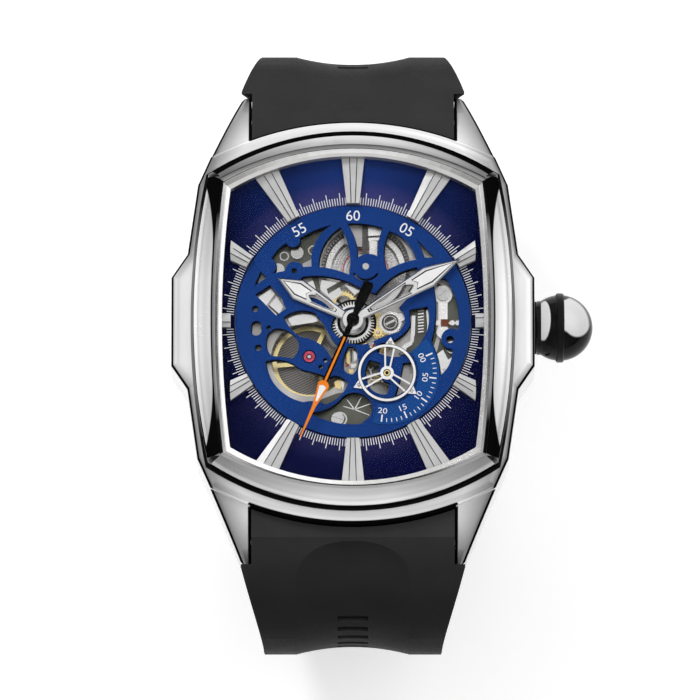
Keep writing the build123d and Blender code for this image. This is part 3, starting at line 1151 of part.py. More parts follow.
def stone_place(sign):
    # the stones stand off the tips of the escape wheel by the gap clearance
    distance = ESCAPE_R + GAP_CLEAR + PALLET_ARM_W + STONE_W
    return polar(distance, BALANCE_ANGLE + sign * STONE_ANGLE, ESCAPE_X, ESCAPE_Y)


def pallet_stones():
    stones = []
    low = ESCAPE_WHEEL_Z - RUN_CLEAR + PALLET_T
    for sign in (1, -1):
        x, y = stone_place(sign)
        inward = BALANCE_ANGLE + sign * STONE_ANGLE + 180
        x1, y1 = polar(STONE_L, inward, x, y)
        stones.append(prism(bar_face(x, y, x1, y1, STONE_W), low, low + PALLET_T))
    return stones


def balance_wheel():
    rim = Circle(BALANCE_R) - Circle(BALANCE_R - BALANCE_RIM_W)
    arms = Circle(BALANCE_HUB_R)
    for i in range(BALANCE_ARMS):
        turn = BALANCE_ARM_ANGLE + i * 360 / BALANCE_ARMS
        arms += Rot(0, 0, turn) * Pos(BALANCE_R / 2, 0) * Rectangle(
            BALANCE_R - BALANCE_RIM_W, BALANCE_ARM_W)
    wheel = prism(Pos(BALANCE_X, BALANCE_Y) * rim, BALANCE_Z, BALANCE_Z + BALANCE_RIM_T)
    arm_z = BALANCE_Z + WHEEL_T
    wheel += prism(Pos(BALANCE_X, BALANCE_Y) * arms, arm_z, arm_z + WHEEL_T + RUN_CLEAR)
    return wheel - rod(BALANCE_STAFF_R, 0, BEZEL_TOP_Z, BALANCE_X, BALANCE_Y)


def balance_staff():
    staff = rod(BALANCE_STAFF_R, ARBOR_LOW_Z, LATTICE_Z + JEWEL_T, BALANCE_X, BALANCE_Y)
    roller_z = ESCAPE_WHEEL_Z + PALLET_T + GAP_CLEAR
    staff += rod(ROLLER_R, roller_z, roller_z + WHEEL_T, BALANCE_X, BALANCE_Y)
    return staff


def hand(shares, slot_shares, length, hub_r, bore_r, angle, z):
    upper = [(u * length, v * length) for u, v in shares]
    lower = [(u, -v) for u, v in reversed(upper) if v > 0]
    face = polygon(upper + lower) + Circle(hub_r)
    solid = prism(face, z, z + HAND_T)
    ridge = chamfer(solid.faces().sort_by(Axis.Z)[-1].outer_wire().edges(), HAND_BEVEL)
    slot_upper = [(u * length, v * length) for u, v in slot_shares]
    slot_lower = [(u, -v) for u, v in reversed(slot_upper)]
    ridge -= prism(polygon(slot_upper + slot_lower), z - CUT_OVERRUN, z + CUT_OVERRUN)
    ridge -= rod(bore_r, z - CUT_OVERRUN, z + CUT_OVERRUN)
    return Rot(0, 0, angle) * ridge


def seconds_hand():
    length = SECONDS_HAND_L
    upper = [(u * length, v * length) for u, v in SECONDS_SHARES]
    lower = [(u, -v) for u, v in reversed(upper)]
    face = polygon(upper + lower) + Circle(SECONDS_HUB_R) - Circle(SECONDS_ARBOR_R)
    return Rot(0, 0, SECONDS_HAND_ANGLE) * prism(face, SECONDS_HAND_Z, SECONDS_HAND_Z + SECONDS_HAND_T)


def small_seconds_hand():
    face = Circle(SUB_RING_R) - Circle(SUB_RING_R - SUB_RING_W)
    face += Circle(SUB_HUB_R)
    for i in range(3):
        turn = Rot(0, 0, SUB_HAND_ANGLE + i * 120)
        tip_half = SUB_HUB_R * SUB_TIP_SHARE
        face += turn * polygon([
            (SUB_RING_R - SUB_RING_W, -tip_half), (SUB_TIP_R, 0), (SUB_RING_R - SUB_RING_W, tip_half)])
        for sign in (1, -1):
            arm_y = sign * tip_half * SUB_ARM_SPREAD_SHARE
            face += turn * bar_face(0, sign * SUB_ARM_W, SUB_RING_R - SUB_RING_W / 2, arm_y, SUB_ARM_W)
    face -= Circle(SUB_TUBE_R)
    return prism(Pos(FOURTH_X, FOURTH_Y) * face, SUB_HAND_Z, SUB_HAND_Z + SUB_HAND_T)


def rotor_web():
    half = sector(ROTOR_R, -90 - ROTOR_HALF_ANGLE, -90 + ROTOR_HALF_ANGLE)
    face = Circle(ROTOR_R - ROTOR_WEIGHT_W + RUN_CLEAR) & half
    face += Circle(ROTOR_HUB_R)
    window_ring = Circle(ROTOR_R - ROTOR_WEIGHT_W * ROTOR_WINDOW_SHARE) - Circle(ROTOR_HUB_R + BRIDGE_WALL)
    for start, end in ROTOR_WINDOW_ANGLES:
        face -= window_ring & sector(ROTOR_R, start, end)
    face -= Circle(ROTOR_BORE_R)
    return prism(face, ROTOR_Z + ROTOR_WEIGHT_T - ROTOR_WEB_T, ROTOR_Z + ROTOR_WEIGHT_T)


def rotor_weight():
    face = (Circle(ROTOR_R) - Circle(ROTOR_R - ROTOR_WEIGHT_W + RUN_CLEAR)) & sector(
        ROTOR_R + CUT_OVERRUN, -90 - ROTOR_HALF_ANGLE, -90 + ROTOR_HALF_ANGLE)
    return prism(face, ROTOR_Z, ROTOR_Z + ROTOR_WEIGHT_T)


def rotor_bearing():
    bearing = rod(ROTOR_BORE_R - RUN_CLEAR, ROTOR_Z, ROTOR_Z + ROTOR_WEIGHT_T)
    bearing += rod(ROTOR_BORE_R / 2, ROTOR_Z + ROTOR_WEIGHT_T, BRIDGE_Z)
    slot = bar_face(-ROTOR_BORE_R, 0, ROTOR_BORE_R, 0, SCREW_SLOT_W + SCREW_SLOT_W)
    return bearing - prism(slot, ROTOR_Z - CUT_OVERRUN, ROTOR_Z + SCREW_SLOT_DEPTH + SCREW_SLOT_DEPTH)


def ratchet_wheel():
    face = gear_face(RATCHET_TEETH, RATCHET_MODULE, RATCHET_PHASE, BARREL_X, BARREL_Y)
    face -= Pos(BARREL_X, BARREL_Y) * Circle(STAFF_R)
    return prism(face, RATCHET_Z, RATCHET_Z + WINDING_WHEEL_T)


def crown_wheel():
    face = gear_face(CROWN_WHEEL_TEETH, RATCHET_MODULE, CROWN_WHEEL_PHASE, CROWN_WHEEL_X, CROWN_WHEEL_Y)
    wheel = prism(face, RATCHET_Z, RATCHET_Z + WINDING_WHEEL_T)
    stud_r = SCREW_SHANK_R - RUN_CLEAR
    return wheel + rod(stud_r, RATCHET_Z, BRIDGE_Z + BRIDGE_T, CROWN_WHEEL_X, CROWN_WHEEL_Y)


def click_place():
    return polar(RATCHET_TIP_R + CLICK_L + GAP_CLEAR, CLICK_ANGLE, BARREL_X, BARREL_Y)


def click():
    x, y = click_place()
    tip = polar(RATCHET_TIP_R + GAP_CLEAR, CLICK_ANGLE, BARREL_X, BARREL_Y)
    face = Pos(x, y) * Circle(SCREW_R)
    side = polar(SCREW_R, CLICK_ANGLE + 90, x, y)
    other = polar(SCREW_R, CLICK_ANGLE - 90, x, y)
    face += polygon([side, other, tip])
    lever = prism(face, RATCHET_Z, RATCHET_Z + WINDING_WHEEL_T)
    return lever - rod(SCREW_SHANK_R + RUN_CLEAR, 0, BEZEL_TOP_Z, x, y)


def toothed_sleeve(x0, length, radius, teeth):
    face = gear_face(teeth, 2 * radius / (teeth + 2), 0)
    sleeve = Rot(0, 90, 0) * prism(face, 0, length)
    return Pos(x0, 0, STEM_Z) * sleeve


def winding_pinion():
    pinion = toothed_sleeve(WINDING_X, WINDING_L, WINDING_R, WINDING_TEETH)
    return pinion - rod_x(STEM_R + RUN_CLEAR, 0, TUBE_OUTER_X, 0, STEM_Z)


def sliding_pinion():
    x0 = WINDING_X + WINDING_L + SLIDING_GAP
    pinion = toothed_sleeve(x0, SLIDING_L, SLIDING_R, WINDING_TEETH)
    pinion -= rod_x(STEM_R + RUN_CLEAR, 0, TUBE_OUTER_X, 0, STEM_Z)
    groove_x0 = x0 + SLIDING_L * SLIDING_GROOVE_SHARES[0]
    groove_x1 = x0 + SLIDING_L * SLIDING_GROOVE_SHARES[1]
    groove = rod_x(SLIDING_R + CUT_OVERRUN, groove_x0, groove_x1, 0, STEM_Z)
    groove -= rod_x(SLIDING_R - BARREL_WALL, 0, TUBE_OUTER_X, 0, STEM_Z)
    return pinion - groove


def winding_stem():
    x_end = CROWN_NECK_X + CROWN_BORE_L
    return rod_x(STEM_R, STEM_INNER_X, x_end, 0, STEM_Z)


def crown_tube():
    tube = rod_x(TUBE_R, TUBE_INNER_X, TUBE_OUTER_X - GAP_CLEAR, 0, STEM_Z)
    return tube - rod_x(TUBE_BORE_R, 0, TUBE_OUTER_X + CUT_OVERRUN, 0, STEM_Z)


def crown():
    # half section beside the stem's axis, turned round it
    groove_r = CROWN_R - BARREL_WALL - BARREL_WALL
    side_r = sqrt(CROWN_R ** 2 - (CROWN_RING_W / 2) ** 2)
    neck_end = CROWN_X - sqrt(CROWN_R ** 2 - CROWN_NECK_R ** 2)
    ring_low = CROWN_X - CROWN_RING_W / 2
    ring_high = CROWN_X + CROWN_RING_W / 2
    slope = CROWN_R * sqrt(0.5)
    middle_x = (neck_end + ring_low) / 2
    middle_r = sqrt(CROWN_R ** 2 - (CROWN_X - middle_x) ** 2)
    bore_end = CROWN_NECK_X + CROWN_BORE_L
    bore_step = CROWN_NECK_X + CROWN_BORE_L / 2
    edges = [
        Line((CROWN_NECK_X, TUBE_R + RUN_CLEAR), (CROWN_NECK_X, CROWN_NECK_R)),
        Line((CROWN_NECK_X, CROWN_NECK_R), (neck_end, CROWN_NECK_R)),
        ThreePointArc((neck_end, CROWN_NECK_R), (middle_x, middle_r), (ring_low, side_r)),
        Line((ring_low, side_r), (ring_low, groove_r)),
        Line((ring_low, groove_r), (ring_high, groove_r)),
        Line((ring_high, groove_r), (ring_high, side_r)),
        ThreePointArc((ring_high, side_r), (CROWN_X + slope, slope), (CROWN_X + CROWN_R, 0)),
        Line((CROWN_X + CROWN_R, 0), (bore_end, 0)),
        Line((bore_end, 0), (bore_end, STEM_R)),
        Line((bore_end, STEM_R), (bore_step, STEM_R)),
        Line((bore_step, STEM_R), (bore_step, TUBE_R + RUN_CLEAR)),
        Line((bore_step, TUBE_R + RUN_CLEAR), (CROWN_NECK_X, TUBE_R + RUN_CLEAR))]
    return Pos(0, 0, STEM_Z) * revolve(make_face(edges), Axis.X)


def crown_ring():
    band = rod_x(CROWN_RING_R, CROWN_X - CROWN_RING_W / 2, CROWN_X + CROWN_RING_W / 2, 0, STEM_Z)
    band = fillet(band.edges().filter_by(GeomType.CIRCLE), BARREL_WALL)
    return band - rod_x(CROWN_R - BARREL_WALL - BARREL_WALL, 0, CROWN_X + CROWN_R, 0, STEM_Z)


def setting_lever():
    low = PLATE_Z + PLATE_T + RUN_CLEAR
    face = bar_face(LEVER_X, LEVER_Y, LEVER_X, -LEVER_W, LEVER_W)
    face += Pos(LEVER_X, LEVER_Y) * Circle(LEVER_W)
    face += Pos(LEVER_X, -LEVER_W) * Circle(LEVER_W * LEVER_END_SHARE)
    face -= Pos(LEVER_X, LEVER_Y) * Circle(SCREW_SHANK_R + RUN_CLEAR)
    return prism(face, low, low + WINDING_WHEEL_T)


def strap_segments(sign):
    # arcs (radius, turn) and lines (None, length) of the strap's middle line from its case end
    side = (STRAP_SIDE_R, 90 - STRAP_START_ANGLE)
    if sign > 0:
        return [side, (STRAP_LOWER_R, 90), (None, FLAT_Y - BUCKLE_BAR_Y)]
    outer_r = STRAP_LOWER_R + STRAP_STEP
    return [side, (outer_r, 90), (None, FLAT_Y + FLAT_Y - STRAP_STEP), (outer_r, TAIL_TURN)]


def segment_length(segment):
    if segment[0] is None:
        return segment[1]
    return segment[0] * radians(segment[1])


def walk(sign, distance):
    # point of the middle line and its heading at this distance from the case end
    y = STRAP_START_Y
    z = STRAP_START_Z
    heading = -STRAP_START_ANGLE
    for segment in strap_segments(sign):
        length = segment_length(segment)
        part = min(distance, length)
        if segment[0] is None:
            y, z = polar(part, heading, y, z)
        else:
            turn = degrees(part / segment[0])
            centre_y, centre_z = polar(segment[0], heading - 90, y, z)
            y, z = polar(segment[0], heading + 90 - turn, centre_y, centre_z)
            heading = heading - turn
        distance = distance - part
        if distance <= 0:
            break
    return sign * y, z, heading


def strap_length(sign):
    return sum(segment_length(segment) for segment in strap_segments(sign))


def strap_half(sign, distance):
    # half thickness, from the case end to the flat run
    full = segment_length(strap_segments(sign)[0]) + segment_length(strap_segments(sign)[1])
    share = min(distance / full, 1)
    return (STRAP_T + (STRAP_END_T - STRAP_T) * share) / 2


def beside(sign, distance, offset):
    y, z, heading = walk(sign, distance)
    side_y, side_z = polar(offset, heading + 90)
    return (0, y + sign * side_y, z + side_z)


def strap_marks(sign, start, end):
    # distances at which the side lines are drawn: ends, middles and joints of the segments
    joints = [start]
    total = 0
    for segment in strap_segments(sign):
        first = total
        total = total + segment_length(segment)
        steps = 1 if segment[0] is None else max(1, round(segment[1] / 15))
        for i in range(1, steps + 1):
            joint = first + (total - first) * i / steps
            if start < joint < end:
                joints.append(joint)
    joints.append(end)
    marks = [start]
    for i in range(1, len(joints)):
        marks.append((joints[i - 1] + joints[i]) / 2)
        marks.append(joints[i])
    return marks


def band(sign, start, end, upper, lower):
    marks = strap_marks(sign, start, end)
    top = smooth_line(sign, marks, upper)
    bottom = smooth_line(sign, marks, lower)
    first = Line(beside(sign, start, upper(start)), beside(sign, start, lower(start)))
    last = Line(beside(sign, end, upper(end)), beside(sign, end, lower(end)))
    return make_face(top + bottom + [first, last])


def smooth_line(sign, marks, offset):
    edges = []
    points = [beside(sign, mark, offset(mark)) for mark in marks]
    for i in range(0, len(points) - 2, 2):
        a, b, c = points[i], points[i + 1], points[i + 2]
        bend = abs((b[1] - a[1]) * (c[2] - a[2]) - (b[2] - a[2]) * (c[1] - a[1]))
        if bend < SEAT_CLEAR * SEAT_CLEAR:
            edges.append(Line(a, c))
        else:
            edges.append(ThreePointArc(a, b, c))
    return edges


def strap_front_view():
    # width of the strap by its height: an arc that narrows from the lugs down, then a slow taper to the buckle
    side_z = STRAP_START_Z - STRAP_SIDE_R * cos(radians(STRAP_START_ANGLE))
    drop = STRAP_TAPER_Z - side_z
    narrowing = STRAP_SHOULDER_HALF_W - STRAP_SIDE_HALF_W
    radius = (drop ** 2 + narrowing ** 2) / (2 * narrowing)
    half_turn = atan2(drop, radius - narrowing) / 2
    middle = (STRAP_SIDE_HALF_W + radius * (1 - cos(half_turn)), side_z + radius * sin(half_turn))
    top_z = CASE_TOP_Z + CUT_OVERRUN
    end_z = side_z - STRAP_LOWER_R
    low_z = BASE_Z - CUT_OVERRUN
    edges = [
        Line((-STRAP_SHOULDER_HALF_W, 0, top_z), (STRAP_SHOULDER_HALF_W, 0, top_z)),
        Line((-STRAP_END_HALF_W, 0, low_z), (STRAP_END_HALF_W, 0, low_z))]
    for side in (1, -1):
        shoulder = (side * STRAP_SHOULDER_HALF_W, 0, STRAP_TAPER_Z)
        knee = (side * STRAP_SIDE_HALF_W, 0, side_z)
        end = (side * STRAP_END_HALF_W, 0, end_z)
        edges.append(Line((side * STRAP_SHOULDER_HALF_W, 0, top_z), shoulder))
        edges.append(ThreePointArc(shoulder, (side * middle[0], 0, middle[1]), knee))
        edges.append(Line(knee, end))
        edges.append(Line(end, (side * STRAP_END_HALF_W, 0, low_z)))
    return extrude(make_face(edges), TIP_Y + TIP_Y, dir=(0, 1, 0), both=True)


def strap_root(sign):
    # block between the lugs that holds the spring bar
    inner_y = END_Y - END_SAG - CUT_OVERRUN
    low_y = BAR_Y + BAR_R + ROOT_WALL
    over_y = STRAP_START_Y + ROOT_REACH
    over_z = STRAP_START_Z - ROOT_REACH
    top_z = STRAP_START_Z + STRAP_T / 2 * cos(radians(STRAP_START_ANGLE))
    top_y = STRAP_START_Y + STRAP_T / 2 * sin(radians(STRAP_START_ANGLE))
    low_z = BAR_Z - BAR_R - ROOT_WALL
    points = [(inner_y, low_z), (low_y, low_z), (over_y, over_z), (top_y, top_z), (inner_y, top_z + ROOT_RISE)]
    face = polygon([(0, sign * y, z) for y, z in points])
    return prism_x(face, STRAP_LUG_HALF_W)


def channel(sign, end):
    # wide shallow hollow along the middle of the strap, that runs out at both ends
    bow_r = (CHANNEL_HALF_W ** 2 + CHANNEL_DEPTH ** 2) / (2 * CHANNEL_DEPTH)
    reach_x = CHANNEL_HALF_W + CUT_OVERRUN
    rise = bow_r - sqrt(bow_r ** 2 - reach_x ** 2)
    run = end - CHANNEL_START
    steps = round(run / CHANNEL_RAMP)
    sections = []
    for i in range(steps + 1):
        distance = CHANNEL_START + run * i / steps
        share = 0 if i in (0, steps) else 1
        floor = strap_half(sign, distance) - CHANNEL_DEPTH * share + SEAT_CLEAR * (1 - share)
        x, y, z = beside(sign, distance, floor)
        across, up_y, up_z = beside(sign, distance, floor + rise)
        left = (-reach_x, up_y, up_z)
        right = (reach_x, up_y, up_z)
        sections.append(make_face([ThreePointArc(left, (0, y, z), right), Line(right, left)]))
    return loft(sections)


def placed_on(sign, distance, solid):
    # stands a solid, drawn along Y with Z outward, on the middle line
    y, z, heading = walk(sign, distance)
    return Pos(0, y, z) * Rot(sign * heading, 0, 0) * solid


def ladder(sign):
    # plain recessed bars in the floor of the channel
    bars = []
    for i in range(LADDER_BARS):
        distance = LADDER_START + i * LADDER_PITCH
        top = strap_half(sign, distance) + CUT_OVERRUN
        low = strap_half(sign, distance) - CHANNEL_DEPTH - LADDER_DEPTH
        bar = block(-LADDER_HALF_W, LADDER_HALF_W, -LADDER_BAR_W / 2, LADDER_BAR_W / 2, low, top)
        bars.append(placed_on(sign, distance, bar))
    return bars


def lug_clearance():
    # the strap is narrower than the slot up to the lug tips, and hollow where the case end reaches in
    reach = TIP_Y + GAP_CLEAR
    high = CASE_TOP_Z + CASE_TOP_Z
    low = LUG_TIP_LOW_Z - GAP_CLEAR
    sides = block(STRAP_LUG_HALF_W, BUMP_HALF_X, -reach, reach, low, high)
    sides += block(-BUMP_HALF_X, -STRAP_LUG_HALF_W, -reach, reach, low, high)
    return sides


def strap_body(sign):
    length = strap_length(sign)
    half = band(sign, 0, length, lambda d: strap_half(sign, d), lambda d: -strap_half(sign, d))
    body = prism_x(half, STRAP_SHOULDER_HALF_W + CUT_OVERRUN) & strap_front_view()
    body -= lug_clearance()
    body += strap_root(sign)
    end_r = (SLOT_HALF_X ** 2 + END_SAG ** 2) / (2 * END_SAG)
    body -= rod(end_r + GAP_CLEAR, LUG_TIP_LOW_Z - CUT_OVERRUN, CASE_TOP_Z + CASE_TOP_Z, 0, sign * (END_Y - end_r))
    body -= rod_x(BAR_R + SEAT_CLEAR, -TIP_Y, TIP_Y, sign * BAR_Y, BAR_Z)
    body -= channel(sign, CHANNEL_END)
    for bar in ladder(sign):
        body -= bar
    return body


def strap_12():
    body = strap_body(1)
    y, z, heading = walk(1, strap_length(1))
    body += rod_x(STRAP_END_T / 2, -STRAP_END_HALF_W, STRAP_END_HALF_W, y, z)
    body -= rod_x(BUCKLE_BAR_R + SEAT_CLEAR, -TIP_Y, TIP_Y, y, z)
    notch = TONGUE_W / 2 + GAP_CLEAR + GAP_CLEAR
    body -= block(-notch, notch, y - STRAP_END_T, y + TONGUE_RING_R + GAP_CLEAR, z - STRAP_T, z + STRAP_T)
    return body


def strap_6():
    body = strap_body(-1)
    for i in range(HOLE_COUNT):
        hole = block(-TONGUE_W / 2 - GAP_CLEAR, TONGUE_W / 2 + GAP_CLEAR, -HOLE_L / 2, HOLE_L / 2, -STRAP_T, STRAP_T)
        distance = hole_distance() + (i - HOLE_USED) * HOLE_PITCH
        body -= placed_on(-1, distance, hole)
    return body


def hole_distance():
    # distance along the 6 o'clock strap at which the tongue passes through it
    segments = strap_segments(-1)
    before = segment_length(segments[0]) + segment_length(segments[1])
    flat_start = -FLAT_Y + STRAP_STEP
    return before + (BUCKLE_BAR_Y - HOLE_BACK) - flat_start


def spring_bars():
    bars = []
    for sign in (1, -1):
        y = sign * BAR_Y
        end = STRAP_SHOULDER_HALF_W - SCREW_SLOT_W - SEAT_CLEAR
        bars.append(rod_x(BAR_R, -end, end, y, BAR_Z))
    short_end = STRAP_END_HALF_W + GAP_CLEAR + FRAME_ARM_W - SCREW_SLOT_W
    bars.append(rod_x(BUCKLE_BAR_R, -short_end, short_end, BUCKLE_BAR_Y, FLAT_Z))
    return bars


def buckle_frame():
    arm_in = STRAP_END_HALF_W + GAP_CLEAR + GAP_CLEAR
    arm_out = arm_in + FRAME_ARM_W
    bow_y = BUCKLE_BAR_Y - BUCKLE_LENGTH
    bow_top = FLAT_Z - STRAP_STEP - STRAP_END_T / 2 - GAP_CLEAR
    side = polygon([
        (0, BUCKLE_BAR_Y + BOW_W / 2, FLAT_Z + BOW_W / 3), (0, BUCKLE_BAR_Y - BOW_W / 2, FLAT_Z + BOW_W / 2),
        (0, bow_y - BOW_W / 2, bow_top), (0, bow_y - BOW_W / 2, BASE_Z), (0, bow_y + BOW_W, BASE_Z),
        (0, BUCKLE_BAR_Y + BOW_W / 2, FLAT_Z - BOW_W / 2)])
    arms = extrude(Pos(arm_in, 0, 0) * side, FRAME_ARM_W, dir=(1, 0, 0))
    arms += extrude(Pos(-arm_out, 0, 0) * side, FRAME_ARM_W, dir=(1, 0, 0))
    frame = arms + block(-arm_out, arm_out, bow_y - BOW_W / 2, bow_y + BOW_W / 2, BASE_Z, bow_top)
    frame -= rod_x(BUCKLE_BAR_R + SEAT_CLEAR, -arm_out + SCREW_SLOT_W, arm_out - SCREW_SLOT_W, BUCKLE_BAR_Y, FLAT_Z)
    rest = TONGUE_W / 2 + GAP_CLEAR
    top = BASE_Z + TONGUE_T + GAP_CLEAR + GAP_CLEAR
    frame -= block(-rest, rest, bow_y - BOW_W, bow_y + BOW_W, BASE_Z - CUT_OVERRUN, top)
    return frame


def buckle_tongue():
    # ring round the bar, then down through the strap and along the underside of the bow
    bow_y = BUCKLE_BAR_Y - BUCKLE_LENGTH
    tip_z = BASE_Z + GAP_CLEAR
    knee_y = BUCKLE_BAR_Y - TONGUE_KNEE
    low = polygon([
        (0, BUCKLE_BAR_Y - TONGUE_RING_R, FLAT_Z), (0, BUCKLE_BAR_Y, FLAT_Z - TONGUE_RING_R),
        (0, knee_y + TONGUE_T / 3, tip_z), (0, bow_y - BOW_W / 2, tip_z),
        (0, bow_y - BOW_W / 2, tip_z + TONGUE_T), (0, knee_y - TONGUE_T / 3, tip_z + TONGUE_T)])
    tongue = prism_x(low, TONGUE_W / 2) + rod_x(TONGUE_RING_R, -TONGUE_W / 2, TONGUE_W / 2, BUCKLE_BAR_Y, FLAT_Z)
    return tongue - rod_x(BUCKLE_BAR_R + RUN_CLEAR, -TIP_Y, TIP_Y, BUCKLE_BAR_Y, FLAT_Z)


def strap_keepers():
    keepers = []
    half_in = STRAP_END_HALF_W + GAP_CLEAR + GAP_CLEAR
    half_out = half_in + KEEPER_T
    high_in = STRAP_END_T / 2 + GAP_CLEAR + GAP_CLEAR
    low_in = STRAP_END_T / 2 + STRAP_STEP + GAP_CLEAR + GAP_CLEAR
    for distance, reach in ((FIRST_KEEPER, FLAT_Z - BASE_Z), (SECOND_KEEPER, low_in + KEEPER_T)):
        low = block(-half_out, half_out, -KEEPER_W / 2, KEEPER_W / 2, -high_in - KEEPER_T, reach)
        low -= block(-half_in, half_in, -KEEPER_W, KEEPER_W, -high_in, low_in)
        keepers.append(placed_on(1, strap_length(1) - distance, low))
    return keepers


def case_back_gasket():
    # seal round the neck of the case back
    return ring(CAVITY_R, BACK_NECK_R, BACK_T, BACK_T + BACK_NECK_T)


def case_back_crystal():
    return rod(BACK_GLASS_R, 0, BACK_T - GAP_CLEAR)


def main():
    os.makedirs("parts", exist_ok=True)
    parts = {}
    parts["case_middle"] = case_middle()
    bezel, inlays = bezel_and_inlays()
    parts["bezel"] = bezel
    parts["bezel_inlays"] = inlays
    parts["crystal"] = crystal()
    parts["crystal_gasket"] = crystal_gasket()
    plate = dial_plate()
    parts["dial_plate"] = plate
    parts["hour_indexes"] = hour_indexes(plate)
    parts["dial_lattice"] = dial_lattice()
    parts["seconds_scale"] = seconds_scale()
    parts["main_plate"] = main_plate()
    parts["plate_jewels"] = Compound(children=plate_jewels())
    parts["barrel_bridge"] = barrel_bridge()
    parts["train_bridge"] = train_bridge()
    parts["balance_cock"] = balance_cock()
    parts["pallet_bridge"] = pallet_bridge()
    parts["movement_holder"] = movement_holder()
    parts["bridge_screws"] = Compound(children=bridge_screws())
    parts["case_back"] = case_back()
    parts["case_back_crystal"] = case_back_crystal()
    parts["case_back_gasket"] = case_back_gasket()
    parts["case_back_screws"] = Compound(children=case_back_screws())
    parts["barrel_drum"] = barrel_drum()
    parts["barrel_arbor"] = barrel_arbor()
    parts["mainspring"] = mainspring()
    parts["hairspring"] = hairspring()
    parts["centre_wheel"] = centre_wheel()
    parts["cannon_pinion"] = cannon_pinion()
    parts["minute_wheel"] = minute_wheel()
    parts["hour_wheel"] = hour_wheel()
    parts["third_wheel"] = third_wheel()
    parts["seconds_pinion"] = seconds_pinion()
    parts["fourth_wheel"] = fourth_wheel()
    parts["escape_wheel"] = escape_wheel()
    parts["pallet_fork"] = pallet_fork()
    parts["pallet_stones"] = Compound(children=pallet_stones())
    parts["balance_wheel"] = balance_wheel()
    parts["balance_staff"] = balance_staff()
    parts["hour_hand"] = hand(HOUR_SHARES, HOUR_SLOT_SHARES, HOUR_HAND_L, HOUR_HUB_R, HOUR_TUBE_R,
                              HOUR_HAND_ANGLE, HOUR_HAND_Z)
    parts["minute_hand"] = hand(MINUTE_SHARES, MINUTE_SLOT_SHARES, MINUTE_HAND_L, MINUTE_HUB_R, CANNON_TUBE_R,
                                MINUTE_HAND_ANGLE, MINUTE_HAND_Z)
    parts["seconds_hand"] = seconds_hand()
    parts["small_seconds_hand"] = small_seconds_hand()
    parts["rotor_web"] = rotor_web()
    parts["rotor_weight"] = rotor_weight()
    parts["rotor_bearing"] = rotor_bearing()
    parts["ratchet_wheel"] = ratchet_wheel()
    parts["crown_wheel"] = crown_wheel()
    parts["click"] = click()
    parts["winding_pinion"] = winding_pinion()
    parts["sliding_pinion"] = sliding_pinion()
    parts["winding_stem"] = winding_stem()
    parts["crown_tube"] = crown_tube()
    parts["crown"] = crown()
    parts["crown_ring"] = crown_ring()
    parts["setting_lever"] = setting_lever()
    parts["spring_bars"] = Compound(children=spring_bars())
    parts["strap_12"] = strap_12()
    parts["strap_6"] = strap_6()
    parts["strap_keepers"] = Compound(children=strap_keepers())
    parts["buckle_frame"] = buckle_frame()
    parts["buckle_tongue"] = buckle_tongue()
    for name, shape in parts.items():
        export_step(shape, "parts/" + name + ".step")
        print(name, len(shape.solids()), round(shape.volume, 2))


main()
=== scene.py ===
from math import atan2, cos, degrees, hypot, pi, radians, sin

import bmesh
import bpy
from mathutils import Matrix, Vector


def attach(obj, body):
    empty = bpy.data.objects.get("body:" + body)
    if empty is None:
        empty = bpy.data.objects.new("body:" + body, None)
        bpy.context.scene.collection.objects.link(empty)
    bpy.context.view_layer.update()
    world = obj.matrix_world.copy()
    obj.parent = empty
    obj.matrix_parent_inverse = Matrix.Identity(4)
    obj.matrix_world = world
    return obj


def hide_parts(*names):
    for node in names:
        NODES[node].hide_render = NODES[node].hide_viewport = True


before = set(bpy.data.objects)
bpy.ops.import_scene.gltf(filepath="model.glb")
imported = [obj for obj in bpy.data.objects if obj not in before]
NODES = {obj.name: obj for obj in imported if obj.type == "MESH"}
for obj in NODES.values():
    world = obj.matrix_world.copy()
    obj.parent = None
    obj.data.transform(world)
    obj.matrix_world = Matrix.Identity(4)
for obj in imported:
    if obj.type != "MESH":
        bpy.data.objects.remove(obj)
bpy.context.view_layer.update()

MM = 0.001

# Camera: almost frontal, tilted toward 6 o'clock, with a long lens
TILT = radians(79.5)
CAMERA_DISTANCE = 1.2
VIEW_WIDTH = 0.08235
SENSOR = 36.0
AIM = Vector((-0.35, -3.37, 9.4)) * MM

# Places on the dial, in millimetres, as in the solids
DIAL_HOLE_R = 13.93
DIAL_LOW_Z = 9.3
DIAL_SLOPE = 0.85 / 7.17
SUB = (3.9975, -6.2028)
BARREL = (1.5, 6.6022)
BALANCE = (-5.15, -4.2)
LATTICE_TOP = 9.6
SCALE_TOP = 9.7
HOUR_TOP = 10.27
MINUTE_TOP = 10.81
SECONDS_LOW = 11.1
SECONDS_TOP = 11.28
SUB_TOP = 9.9
HOUR_ANGLE = 150.0
MINUTE_ANGLE = 30.0
SECONDS_ANGLE = 246.3
HOUR_L = 10.25
MINUTE_L = 14.65
SECONDS_L = 15.35
SUB_HAND_ANGLE = 84.0

# Outlines that the painted shade of the case and bezel follows, in millimetres, as in the solids
CASE_BUMP = (21.4, 5.3)
CASE_SHOULDER = (19.5, 8.1)
CASE_FLANK = (18.3, 16.4)
CASE_TIP = (13.3, 27.6)
CASE_END_R = 34.84
CASE_END_Y = 24.1
CASE_SLOT_X = 12.05
BEZEL_SIDE_INNER_X = 16.57
BEZEL_SIDE_BEND = 3.64
BEZEL_END_INNER_Y = 20.42
BEZEL_END_BEND = 16.9


# Shader values

